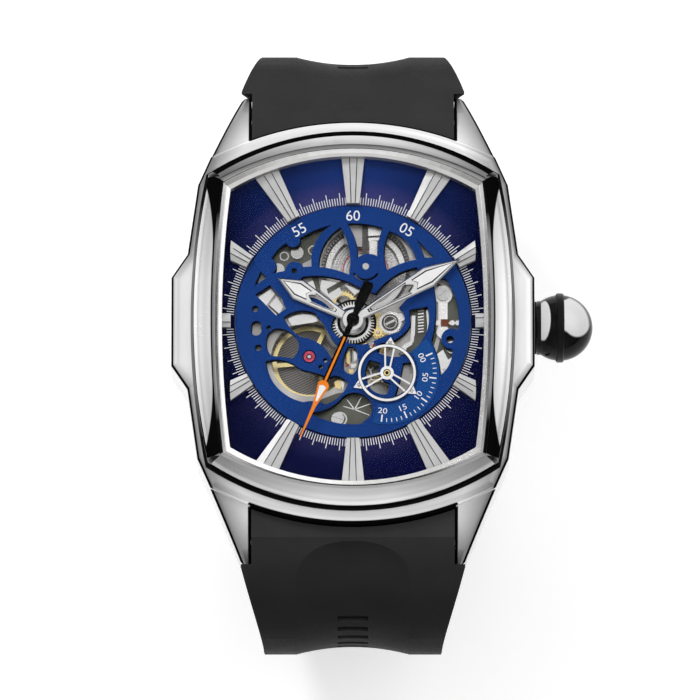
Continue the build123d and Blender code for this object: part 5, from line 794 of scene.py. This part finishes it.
INDEX_START = 14.05
INDEX_WIDTHS = (14.05, 0.75, 20.4, 1.45)
INDEX_TOP = 10.55
INDEX_EDGE = 10.36
INDEX_END_DROP = 0.1
INDEX_RIDGES = (-0.36, 0.30)
INDEX_LINE_W = 0.045
INDEX_LINE_IN = 0.05
INDEX_LINE_Z = (INDEX_TOP - 0.08, INDEX_TOP + 0.008)
INDEX_FAR = 19.0
SIDE_HOURS = (3, 9)
SIDE_INDEX_START = 14.4
SIDE_INDEX_HALF_W = 0.82
SLANTED_HOURS = (2, 4, 8, 10)
SLANTED_MARGIN = -0.62
INDEX_MARGIN = -0.01
PRINT_PROUD = 0.025
PRINT_SUNK = 0.02


def dial_height(x, y):
    return DIAL_LOW_Z + max(0.0, hypot(x, y) - DIAL_HOLE_R) * DIAL_SLOPE


def dial_sunk(x, y):
    return dial_height(x, y) - PRINT_SUNK


def dial_proud(x, y):
    return dial_height(x, y) + PRINT_PROUD


def index_half_width(hour, u):
    if hour in SIDE_HOURS:
        return SIDE_INDEX_HALF_W
    near, near_w, far, far_w = INDEX_WIDTHS
    return near_w + (far_w - near_w) * (u - near) / (far - near)


def reach(angle, v, margin):
    # distance along a direction, at an offset across it, to the edge of the aperture less a margin
    turned = placed(tonneau(APERTURE, margin), -angle)
    best = 0.0
    for (u1, v1), (u2, v2) in zip(turned, turned[1:] + turned[:1]):
        if (v1 - v) * (v2 - v) <= 0 and v1 != v2:
            best = max(best, u1 + (u2 - u1) * (v - v1) / (v2 - v1))
    return best


def index_end(hour, angle, share):
    margin = SLANTED_MARGIN if hour in SLANTED_HOURS else INDEX_MARGIN
    u = reach(angle, share * index_half_width(hour, INDEX_FAR), margin)
    return min(u, reach(angle, share * index_half_width(hour, u), margin))


def index_bar(mesh, lines, hour):
    # bar with two ridges; its four upper corners at each end stand over four on the dial
    angle = 90 - hour * 30
    near = SIDE_INDEX_START if hour in SIDE_HOURS else INDEX_START
    shares = (-1.0,) + INDEX_RIDGES + (1.0,)
    ends = [index_end(hour, angle, share) for share in shares]
    rows = []
    for places, drop in (([near] * 4, INDEX_END_DROP), (ends, 0.0)):
        across = [(u, share * index_half_width(hour, u)) for u, share in zip(places, shares)]
        spots = placed(across, angle)
        heights = (INDEX_EDGE, INDEX_TOP - drop, INDEX_TOP - drop, INDEX_EDGE)
        corners = [(x, y, z) for (x, y), z in zip(spots, heights)]
        corners += [(x, y, dial_sunk(x, y)) for x, y in reversed(spots)]
        rows.append([mesh.verts.new(corner) for corner in corners])
    inner, outer = rows
    for i in range(8):
        mesh.faces.new((inner[i - 1], inner[i], outer[i], outer[i - 1]))
    for row in rows:
        for i in range(3):
            mesh.faces.new((row[i], row[i + 1], row[6 - i], row[7 - i]))
    start = near + INDEX_LINE_IN
    far = ends[2]
    for share in INDEX_RIDGES[1:] if hour in SIDE_HOURS else INDEX_RIDGES:
        first = share * index_half_width(hour, near)
        last = share * index_half_width(hour, far)
        line = [(start, first - INDEX_LINE_W), (far, last - INDEX_LINE_W),
                (far, last + INDEX_LINE_W), (start, first + INDEX_LINE_W)]
        slab(lines, placed(line, angle), *INDEX_LINE_Z)


def hour_index_bars():
    mesh = bmesh.new()
    lines = bmesh.new()
    for hour in range(12):
        index_bar(mesh, lines, hour)
    made = piece("hour_index_bars", mesh, INDEX_STEEL, "case")
    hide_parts("hour_indexes")
    piece("hour_index_lines", lines, DARK_LINE_AND_SHADOW, "case")


# Printing on the dial

TRACK_COUNT = 300
TRACK_STEP = 360 / TRACK_COUNT
HOUR_STEP = 30
TRACK_START = 0.12
TRACK_SHORT = 0.86
TRACK_LONG = 1.43
TRACK_HALF_W = 0.045
INDEX_HALF_ANGLE = 3.4
NUMERAL_R = 12.62
NUMERAL_SIZE = 1.75
SUB_TICK_R = 5.85
SUB_TICKS = 20
SUB_TICK_SHORT = (0.45, 0.045)
SUB_TICK_LONG = (0.85, 0.085)
SUB_NUMERAL_R = 4.55
SUB_NUMERAL_SIZE = 0.95
SUB_NUMERAL_STRETCH = 1.2
SUB_START = 24.0
SUB_SPAN = 120.5


def minute_track():
    # five marks to the minute, left out where an index starts
    start = DIAL_HOLE_R + TRACK_START
    mesh = bmesh.new()
    for i in range(TRACK_COUNT):
        from_index = i * TRACK_STEP % HOUR_STEP
        if min(from_index, HOUR_STEP - from_index) < INDEX_HALF_ANGLE:
            continue
        length = TRACK_LONG if i % 5 == 0 else TRACK_SHORT
        mark = bar(start, start + length, TRACK_HALF_W)
        slab(mesh, placed(mark, 90 - i * TRACK_STEP), dial_sunk, dial_proud)
    piece("minute_track", mesh, PRINT_WHITE, "case")


def ring_numerals():
    mesh = bmesh.new()
    for words, angle in (("55", 120), ("60", 90), ("05", 60)):
        add_text(mesh, words, NUMERAL_SIZE, polar(NUMERAL_R, angle), LATTICE_TOP - PRINT_SUNK,
                 LATTICE_TOP + PRINT_PROUD, angle - 90)
    piece("ring_numerals", mesh, PRINT_WHITE, "case")


def seconds_scale_print():
    mesh = bmesh.new()
    levels = (SCALE_TOP - PRINT_SUNK, SCALE_TOP + PRINT_PROUD)
    for i in range(SUB_TICKS + 1):
        length, half = SUB_TICK_SHORT if i % 5 else SUB_TICK_LONG
        mark = bar(SUB_TICK_R - length, SUB_TICK_R, half)
        slab(mesh, placed(mark, SUB_START - SUB_SPAN * i / SUB_TICKS, *SUB), *levels)
    for i, words in enumerate(("00", "05", "10", "15", "20")):
        angle = SUB_START - SUB_SPAN * i / 4
        add_text(mesh, words, SUB_NUMERAL_SIZE, polar(SUB_NUMERAL_R, angle, *SUB), *levels, angle + 90,
                 SUB_NUMERAL_STRETCH)
    piece("seconds_scale_print", mesh, PRINT_WHITE, "case")


# Details of the movement, seen through the openings of the lattice

PLATE_TOP = 8.2
PLATE_IN = PLATE_TOP - 0.02
FIELD_TOP = PLATE_TOP + 0.03
LATTICE_LOW = 9.2
EDGE_LOW = 8.86
EDGE_GAP = 0.01
EDGE_SHIFT = 0.13
EDGE_SHIFT_R = 13.5
LINE_PROUD = 0.012
BARREL_TOP = 6.25
BARREL_IN = BARREL_TOP - 0.02
BARREL_TEETH = (4.72, 4.95, 5.22, 84)
BARREL_RIM = (4.1, 4.74)
BARREL_GROOVES = (3.75, 3.45, 3.15, 2.4)
BARREL_GROOVE_W = 0.1
BARREL_RED = (2.62, 2.74)
JEWEL_RIMS = ((0.68, 0.8, 48), (0.27, 0.34, 24))
ROD_STUDS = (9.95, 11.7, 12.35)
ROD_STUD_R = 0.3
ROD = bar(9.7, 12.7, 0.13)
MOTION_SCREW = (4.38, 0.0)
MOTION_POST = (6.3, 0.95)
MOTION_BRIDGE_LOW = 8.62
MOTION_SCREW_Z = (8.78, 9.02)
MOTION_SCREW_R = 0.98
MOTION_SLOT_Z = (9.0, 9.04)
MOTION_ARM = [(0, -0.6), (2.1, -0.4), (2.1, 0.4), (0, 0.6)]
MOTION_TEETH = (1.0, 1.3, 1.45, 28)
MOTION_SLOT = bar(-0.6, 0.6, 0.13)
MOTION_SLOT_TURN = 25
TRAIN_WHEEL = (-1.1, 2.4, 0.95, 1.35, 1.6, 26)
PLATE_SOCKETS = ((-8.1, 8.05, 0.55), (-1.53, -11.43, 0.85), (11.04, 3.7, 0.55), (-4.7, 8.75, 0.6))
SOCKET_BORE = 0.78
BALANCE_GROUND = (0.62, 4.3, 4.62, 4.66)
ESCAPEMENT_JEWEL = (-0.66, -5.0, 0.2)
HOUR_GROUND = (1.5, 2.75, 8.86, 8.896)
HOUR_TEETH = (1.85, 2.12, 2.5, 44, 8.87, 8.903)


def lattice_edge():
    # painted shadow: a black copy of the lattice, lower and a little aside, that gives its openings a dark
    # edge
    mesh = bmesh.new()
    mesh.from_mesh(NODES["dial_lattice"].data)
    for vertex in mesh.verts:
        x, y, z = vertex.co / MM
        share = (z - LATTICE_LOW) / (LATTICE_TOP - LATTICE_LOW)
        shift = EDGE_SHIFT if hypot(x, y) < EDGE_SHIFT_R else 0.0
        vertex.co = (x + shift, y - shift, EDGE_LOW + share * (LATTICE_LOW - EDGE_GAP - EDGE_LOW))
    piece("lattice_edge", mesh, DARK_LINE_AND_SHADOW, "case")


def jewel_rim():
    # dark rings round the balance jewel and round its hole
    mesh = bmesh.new()
    for inner, outer, steps in JEWEL_RIMS:
        circle_ring(mesh, *BALANCE, inner, outer, LATTICE_TOP - 0.1, LATTICE_TOP + LINE_PROUD, steps)
    piece("jewel_rim", mesh, DARK_LINE_AND_SHADOW, "case")


# Flat steps of plates, levers and bars

BARREL_BAR = box(1.1, 1.72, 7.5, 12.1)
BARREL_WEB = [(-0.9, 9.6), (1.1, 9.2), (1.1, 12.1), (-1.2, 11.6)]
BARREL_STEPS = [
    box(1.95, 2.85, 8.0, 9.9),
    [(1.8, 9.9), (3.2, 10.0), (3.3, 10.35), (1.8, 10.25)],
    [(1.8, 10.5), (3.5, 10.6), (3.7, 12.0), (1.8, 12.1)]]
DARK_FIELDS = [
    [(-10.2, 5.2), (-6.3, 5.7), (-5.9, 7.2), (-4.4, 8.0), (-3.5, 9.0), (-2.6, 11.6), (-6.5, 11.2),
     (-9.4, 9.0)],
    [(-5.8, -9.9), (-2.0, -8.4), (0.5, -7.9), (2.6, -8.6), (2.9, -12.2), (0.0, -13.3), (-4.6, -12.5)],
    [(6.2, 1.9), (9.6, 3.9), (9.9, -1.5), (9.0, -4.4), (5.9, -4.7), (5.4, -3.6), (7.2, -2.2), (7.3, 0.2)],
    [(9.9, 4.9), (12.6, 3.6), (13.2, 0.2), (12.6, -4.4), (10.0, -8.0), (9.4, -5.2), (10.6, -0.6)]]
STEEL_LEVERS = [
    [(6.95, 0.9), (7.35, 0.9), (7.3, -1.3), (6.95, -2.6), (6.3, -3.0), (6.2, -3.7), (5.6, -3.8),
     (5.5, -3.1), (6.1, -2.5), (6.75, -2.2)],
    [(8.55, 2.6), (9.2, 2.2), (9.35, -0.4), (9.0, -2.2), (8.6, -2.2), (8.75, -0.2)],
    [(7.0, 1.9), (8.3, 2.4), (8.3, 2.0), (7.3, 1.3)],
    [(9.75, -3.8), (10.6, -3.2), (11.2, -4.4), (11.6, -4.1), (11.9, -5.2), (10.9, -6.4), (9.9, -5.9)]]
LIGHT_STEPS = [
    [(-11.7, 2.6), (-9.9, 4.6), (-9.2, 3.5), (-10.3, 2.0)],
    [(-10.1, 1.8), (-9.0, 3.2), (-8.2, 2.0), (-8.9, 0.6)],
    [(-3.7, 5.2), (-2.0, 4.9), (-1.2, 3.6), (-2.4, 2.7), (-3.9, 4.0)],
    [(-5.6, 4.7), (-4.2, 5.4), (-4.3, 4.2), (-5.4, 3.6)],
    [(-1.0, 4.6), (0.4, 4.9), (1.2, 4.1), (0.2, 3.4)],
    [(-7.9, 0.9), (-5.2, 1.5), (-3.4, 0.6), (-4.6, 0.1), (-7.2, -0.3)]]
DARK_BLOCKS = [
    [(-3.1, 4.1), (-1.0, 5.3), (-0.7, 4.9), (-2.9, 3.5)],
    [(-10.0, 2.0), (-9.9, 2.2), (-8.2, 0.7), (-8.4, 0.5)],
    [(-4.9, 5.6), (-4.1, 5.6), (-3.8, 3.9), (-4.2, 3.7)],
    [(3.0, 4.9), (5.2, 6.3), (5.5, 5.9), (3.3, 4.5)]]
GILT_STEPS = [
    [(-0.80, -3.5), (-0.42, -3.3), (-0.36, -4.9), (-0.72, -5.2)],
    [(-0.55, -5.5), (0.1, -5.5), (-0.05, -6.0), (-0.4, -6.0)],
    [(-2.2, -7.0), (-1.6, -6.7), (-1.1, -7.2), (-1.5, -7.9), (-2.1, -7.7)]]
PALE_STEPS = [
    [(0.02, -3.1), (0.42, -3.0), (0.5, -4.3), (0.12, -4.6)],
    [(-0.3, -4.9), (0.4, -4.8), (0.3, -5.3), (-0.2, -5.4)],
    [(-1.5, -6.6), (-0.9, -6.7), (-1.2, -8.1)]]
DARK_SLITS = [[(-0.32, -3.1), (-0.1, -3.1), (-0.12, -4.6), (-0.26, -4.6)]]
KEYLESS_BLOCK = box(10.35, 11.3, -0.42, 0.42)
COIL_TURN = [(7.65, 0.0), (8.35, 0.08), (8.35, 0.24), (7.65, 0.16)]
COIL_START = 1.35
COIL_PITCH = 0.36
COIL = [[(x, COIL_START - i * COIL_PITCH + y) for x, y in COIL_TURN] for i in range(8)]
RIB_PLACE = (0.2, -10.3)
RIB_SHAPE = [(0, -0.07), (1, -0.03), (1, 0.03), (0, 0.07)]
RIBS = [placed([(u * length, v) for u, v in RIB_SHAPE], angle, *RIB_PLACE)
        for length, angle in ((2.4, 20), (1.7, 62), (1.9, -22), (1.5, 128), (1.4, 165))]

# Name, outlines, low and high, finish and slot of each layer
MOVEMENT_PLATES = (
    ("barrel_bar_dark", [BARREL_BAR], 7.9, 8.3, DARK_STEEL, "wheel_steel"),
    ("barrel_bar_bright", BARREL_STEPS, 7.9, 8.25, WHEEL_STEEL, "wheel_steel"),
    ("barrel_bar_web", [BARREL_WEB], 7.7, 7.95, PLATE_NICKEL, "plate_nickel"),
    ("plate_dark_fields", DARK_FIELDS, PLATE_IN, PLATE_TOP + 0.05, PLATE_DARK, "plate_nickel"),
    ("keyless_levers", STEEL_LEVERS, FIELD_TOP, PLATE_TOP + 0.3, HAND_STEEL, "wheel_steel"),
    ("keyless_coil", COIL, FIELD_TOP, PLATE_TOP + 0.36, WHEEL_STEEL, "wheel_steel"),
    ("keyless_block", [KEYLESS_BLOCK], FIELD_TOP, PLATE_TOP + 0.5, BLOCK_BROWN, "wheel_steel"),
    ("plate_bright_steps", LIGHT_STEPS, PLATE_IN, PLATE_TOP + 0.22, HAND_STEEL, "plate_nickel"),
    ("plate_dark_blocks", DARK_BLOCKS, PLATE_IN, PLATE_TOP + 0.3, PLATE_DARK, "plate_nickel"),
    ("plate_bright_ribs", RIBS, FIELD_TOP, PLATE_TOP + 0.14, HAND_STEEL, "plate_nickel"),
    ("escapement_gilt", GILT_STEPS, PLATE_IN, PLATE_TOP + 0.12, WHEEL_BRASS, "wheel_brass"),
    ("escapement_pale", PALE_STEPS, PLATE_IN, PLATE_TOP + 0.16, HAND_STEEL, "wheel_steel"),
    ("escapement_slits", DARK_SLITS, PLATE_IN, FIELD_TOP, DARK_STEEL, "plate_nickel"))


# Name, mesh helper and its sizes, finish, slot and body of each round piece
ROUND_PIECES = (
    ("barrel_tooth_ring", toothed_ring, (*BARREL, *BARREL_TEETH, BARREL_IN, BARREL_TOP + 0.3), DARK_STEEL,
     "wheel_steel", "barrel"),
    ("barrel_red_ring", circle_ring, (*BARREL, *BARREL_RED, BARREL_IN, BARREL_TOP + 0.08), RUBY, "ruby",
     "barrel"),
    ("motion_screw", disc, (*MOTION_SCREW, MOTION_SCREW_R, *MOTION_SCREW_Z), DARK_STEEL, "screw_steel"),
    ("train_wheel_gilt", toothed_ring, (*TRAIN_WHEEL, PLATE_IN, PLATE_TOP + 0.12), WHEEL_BRASS,
     "wheel_brass"),
    ("balance_ground", circle_ring, (*BALANCE, *BALANCE_GROUND), STRIPED_GROUND, "bridge_nickel"),
    ("escapement_jewel", disc, (*ESCAPEMENT_JEWEL, PLATE_IN, PLATE_TOP + 0.14), RUBY, "ruby"),
    ("hour_wheel_ground", circle_ring, (0.0, 0.0, *HOUR_GROUND), DARK_LINE_AND_SHADOW, "wheel_steel", "hour"),
    ("hour_wheel_teeth", toothed_ring, (0.0, 0.0, *HOUR_TEETH), WHEEL_STEEL, "wheel_steel", "hour"))


def round_piece(name, helper, sizes, material, slot, body="case"):
    mesh = bmesh.new()
    helper(mesh, *sizes)
    piece(name, mesh, material, body)


def barrel_rings():
    # raised rim and turned rings on the barrel
    mesh = bmesh.new()
    circle_ring(mesh, *BARREL, *BARREL_RIM, BARREL_IN, BARREL_TOP + 0.42)
    for radius in BARREL_GROOVES:
        circle_ring(mesh, *BARREL, radius - BARREL_GROOVE_W, radius, BARREL_IN, BARREL_TOP + 0.12)
    piece("barrel_rings", mesh, WHEEL_STEEL, "barrel")


def plate_sockets():
    mesh = bmesh.new()
    for x, y, radius in PLATE_SOCKETS:
        circle_ring(mesh, x, y, radius * SOCKET_BORE, radius, PLATE_IN, PLATE_TOP + 0.12, 36)
    piece("plate_sockets", mesh, SCREW_STEEL, "case")


def keyless_ends():
    # rod with three studs beside the stem
    ends = bmesh.new()
    for x in ROD_STUDS:
        disc(ends, x, 0.0, ROD_STUD_R, FIELD_TOP, PLATE_TOP + 0.42)
    slab(ends, ROD, FIELD_TOP, PLATE_TOP + 0.25)
    piece("keyless_ends", ends, HAND_STEEL, "case")


def motion_cover():
    # small bridge over the minute wheel, and the slot of its large screw
    x, y = MOTION_SCREW
    bridge = bmesh.new()
    turn = degrees(atan2(MOTION_POST[1] - y, MOTION_POST[0] - x))
    slab(bridge, placed(MOTION_ARM, turn, x, y), MOTION_BRIDGE_LOW, MOTION_SCREW_Z[0])
    disc(bridge, *MOTION_POST, 0.4, PLATE_IN, 8.7)
    toothed_ring(bridge, x, y, *MOTION_TEETH, MOTION_BRIDGE_LOW, 8.84)
    piece("motion_bridge", bridge, WHEEL_STEEL, "case")
    slot = bmesh.new()
    slab(slot, placed(MOTION_SLOT, MOTION_SLOT_TURN, x, y), *MOTION_SLOT_Z)
    circle_ring(slot, x, y, 0.68, 0.78, *MOTION_SLOT_Z, 36)
    piece("motion_screw_slot", slot, SCREW_STEEL, "case")


# Hands: half outlines as shares of the hand's length

HOUR_PANEL = [(0.62, 0.0), (0.58, 0.062), (0.735, 0.078), (0.93, 0.0)]
MINUTE_PANEL = [(0.60, 0.0), (0.565, 0.046), (0.705, 0.056), (0.945, 0.0)]
HOUR_FRAME = [(0.22, 0.018), (0.36, 0.044), (0.53, 0.064), (0.515, 0.034), (0.59, 0.0)]
MINUTE_FRAME = [(0.14, 0.014), (0.22, 0.028), (0.52, 0.054), (0.505, 0.030), (0.56, 0.0)]
SECONDS_STEM = [(-0.315, 0.026), (-0.295, 0.042), (-0.16, 0.040), (-0.06, 0.022), (0.53, 0.022)]
SECONDS_ARROW = [(0.53, 0.020), (0.555, 0.046), (0.74, 0.014), (1.0, 0.005)]
SECONDS_STRIPE = [(0.155, 0.0075), (0.53, 0.0085)]
SECONDS_INLAY = [(0.565, 0.0), (0.575, 0.027), (0.70, 0.006)]
SECONDS_HUB_R = 0.75
PANEL_SHRINK = (0.93, 0.80)
FRAME_SHRINK = (0.94, 0.84)
PANEL_SUNK = 0.05
PANEL_PROUD = 0.03
SMALL_NUMERAL_R = 3.62
SMALL_NUMERAL_SIZE = 0.5
SMALL_LINES = ((3.4, 3.46), (3.04, 3.1), (0.34, 0.44))


def shrunk(points, along, across):
    # an outline drawn in toward its middle
    middle = sum(u for u, v in points) / len(points)
    return [(middle + (u - middle) * along, v * across) for u, v in points]


def hand_dress(hand, length, angle, top, body, panel, frame_shares):
    # dark line and white panel let into the wide end, and a thin dark line round the slot of a sword hand
    outer = scaled(panel, length)
    plates(hand + "_line", [placed(mirrored(outer), angle)], top - 0.06, top + LINE_PROUD, DARK_LINE_AND_SHADOW,
           "hand_steel", body)
    inner = shrunk(outer, *PANEL_SHRINK)
    plates(hand + "_panel", [placed(mirrored(inner), angle)], top - PANEL_SUNK, top + PANEL_PROUD,
           HAND_PANEL, "hand_steel", body)
    slot = mirrored(scaled(frame_shares, length))
    mesh = bmesh.new()
    ring_between(mesh, placed(slot, angle), placed(shrunk(slot, *FRAME_SHRINK), angle),
                 top - PANEL_SUNK, top + LINE_PROUD)
    piece(hand + "_frame", mesh, DARK_LINE_AND_SHADOW, body)


def seconds_part(shares):
    return placed(mirrored(scaled(shares, SECONDS_L)), SECONDS_ANGLE)


def seconds_hand_pieces():
    # black stem and hub, orange arrow and stripe, white inlay
    black = bmesh.new()
    slab(black, seconds_part(SECONDS_STEM), SECONDS_LOW, SECONDS_TOP)
    slab(black, circle(SECONDS_HUB_R, 36), SECONDS_LOW - 0.005, SECONDS_TOP + 0.06)
    made = piece("seconds_hand_stem", black, SECONDS_BLACK, "seconds")
    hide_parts("seconds_hand")
    orange = bmesh.new()
    slab(orange, seconds_part(SECONDS_ARROW), SECONDS_LOW, SECONDS_TOP + 0.01)
    slab(orange, seconds_part(SECONDS_STRIPE), SECONDS_TOP - PANEL_SUNK, SECONDS_TOP + 0.02)
    piece("seconds_hand_arrow", orange, SECONDS_ORANGE, "seconds")
    plates("seconds_hand_inlay", [seconds_part(SECONDS_INLAY)], SECONDS_TOP - PANEL_SUNK,
           SECONDS_TOP + PANEL_PROUD, PRINT_WHITE, "seconds_black", "seconds")


def small_hand_print():
    # numerals, dark rings and centre dot of the small seconds hand
    mesh = bmesh.new()
    for i, words in enumerate(("00", "20", "40")):
        angle = SUB_HAND_ANGLE - i * 120
        add_text(mesh, words, SMALL_NUMERAL_SIZE, polar(SMALL_NUMERAL_R, angle, *SUB),
                 SUB_TOP - PRINT_SUNK, SUB_TOP + PRINT_PROUD, angle - 90)
    for inner, outer in SMALL_LINES:
        circle_ring(mesh, *SUB, inner, outer, SUB_TOP - 0.1, SUB_TOP + 0.01)
    disc(mesh, *SUB, 0.2, SUB_TOP - 0.05, SUB_TOP + 0.04, 24)
    piece("small_hand_numerals", mesh, DARK_LINE_AND_SHADOW, "fourth")


# Studio

FLOOR_Z = -45.3 * MM
FLOOR_HALF = 3.0
FLOOR_GLOW = 0.42
KEY_PLACE = (-0.28, 0.34, 0.6)
KEY_SIZE = 0.16
KEY_POWER = 1.6
CAMERA_CLIP = (0.01, 20.0)
SOFTBOX_DIRECTION = (0.52, 0.40, 0.75)
DOME_STOPS = ((0.0, 0.04), (0.08, 0.06), (0.2, 0.7), (0.42, 1.0), (0.62, 1.0), (0.84, 0.75), (0.96, 0.72),
              (1.0, 0.8))


def floor():
    # white floor that glows a little to the camera and in reflections
    data = bpy.data.meshes.new("floor")
    corners = [(x, y, FLOOR_Z) for x, y in box(-FLOOR_HALF, FLOOR_HALF, -FLOOR_HALF, FLOOR_HALF)]
    data.from_pydata(corners, [], [(0, 1, 2, 3)])
    finish = Finish("floor_white")
    finish.set(Base_Color=grey(0.86), Roughness=0.9, Specular_IOR_Level=0.0)
    path = signals(new_node(finish.tree, "LightPath"))
    seen = greater(greater(path["Is Camera Ray"], path["Is Glossy Ray"]), path["Is Transmission Ray"])
    glow = new_node(finish.tree, "Emission", (1, 1, 1, 1), seen * FLOOR_GLOW)
    both = new_node(finish.tree, "AddShader", Signal(finish.surface.outputs[0]), Signal(glow.outputs[0]))
    data.materials.append(finish.show(both))
    made = bpy.data.objects.new("floor", data)
    bpy.context.scene.collection.objects.link(made)


def studio_world():
    # pale dome, dimmer between its four sides and dark at the horizon, so that polished metal shows form
    world = bpy.data.worlds.new("studio")
    bpy.context.scene.world = world
    world.use_nodes = True
    tree = world.node_tree
    direction = signals(new_node(tree, "TexCoord"))["Generated"]
    x, y, z = split(direction)
    ramp = new_node(tree, "ValToRGB", z)
    elements = ramp.color_ramp.elements
    while len(elements) < len(DOME_STOPS):
        elements.new(0.5)
    for element, (position, value) in zip(elements, DOME_STOPS):
        element.position = position
        element.color = grey(value)
    flat = 1.0 - z * z + 0.001
    diagonal = x * y * 2.0 / flat
    dim = ranged(diagonal * diagonal, 0.05, 0.8, 0.0, 0.62) * ranged(flat, 0.02, 0.3)
    rim = ranged(y * y / flat, 0.55, 0.95, 0.0, 0.5) * ranged(z, 0.05, 0.3, 1.0, 0.0)
    toward = vector_maths("DOT_PRODUCT", direction, Vector(SOFTBOX_DIRECTION).normalized())
    softbox = ranged(toward, 0.82, 0.90, 0.0, 0.75)
    level = Signal(ramp.outputs[0]) * (1.0 - dim) + rim + softbox
    feed_named(tree.nodes["Background"], {"Color": (1, 1, 1, 1), "Strength": level})


def aimed(name, data, place, direction):
    # puts a lamp or camera in the scene, looking along a direction
    made = bpy.data.objects.new(name, data)
    made.location = place
    made.rotation_mode = "QUATERNION"
    made.rotation_quaternion = direction.to_track_quat("-Z", "Y")
    bpy.context.scene.collection.objects.link(made)
    return made


def key_lamp():
    data = bpy.data.lights.new("key", "AREA")
    data.shape = "RECTANGLE"
    data.size = KEY_SIZE
    data.size_y = KEY_SIZE
    data.energy = KEY_POWER
    aimed("key", data, KEY_PLACE, -Vector(KEY_PLACE)).visible_glossy = False


def camera():
    data = bpy.data.cameras.new("camera")
    data.sensor_width = SENSOR
    data.lens = SENSOR * CAMERA_DISTANCE / VIEW_WIDTH
    data.clip_start, data.clip_end = CAMERA_CLIP
    back = Vector((0, -cos(TILT), sin(TILT)))
    bpy.context.scene.camera = aimed("camera", data, AIM + back * CAMERA_DISTANCE, -back)


dress_nodes()
crystal_seat()
bezel_seam()
crown_seat()
slot_shadow()
jewel_rim()
hour_index_bars()
minute_track()
ring_numerals()
seconds_scale_print()
lattice_edge()
for row in MOVEMENT_PLATES:
    plates(*row)
for row in ROUND_PIECES:
    round_piece(*row)
barrel_rings()
plate_sockets()
keyless_ends()
motion_cover()
hand_dress("hour_hand", HOUR_L, HOUR_ANGLE, HOUR_TOP, "hour", HOUR_PANEL, HOUR_FRAME)
hand_dress("minute_hand", MINUTE_L, MINUTE_ANGLE, MINUTE_TOP, "minute", MINUTE_PANEL, MINUTE_FRAME)
seconds_hand_pieces()
small_hand_print()
floor()
studio_world()
key_lamp()
camera()
bpy.context.scene.view_settings.view_transform = "Standard"
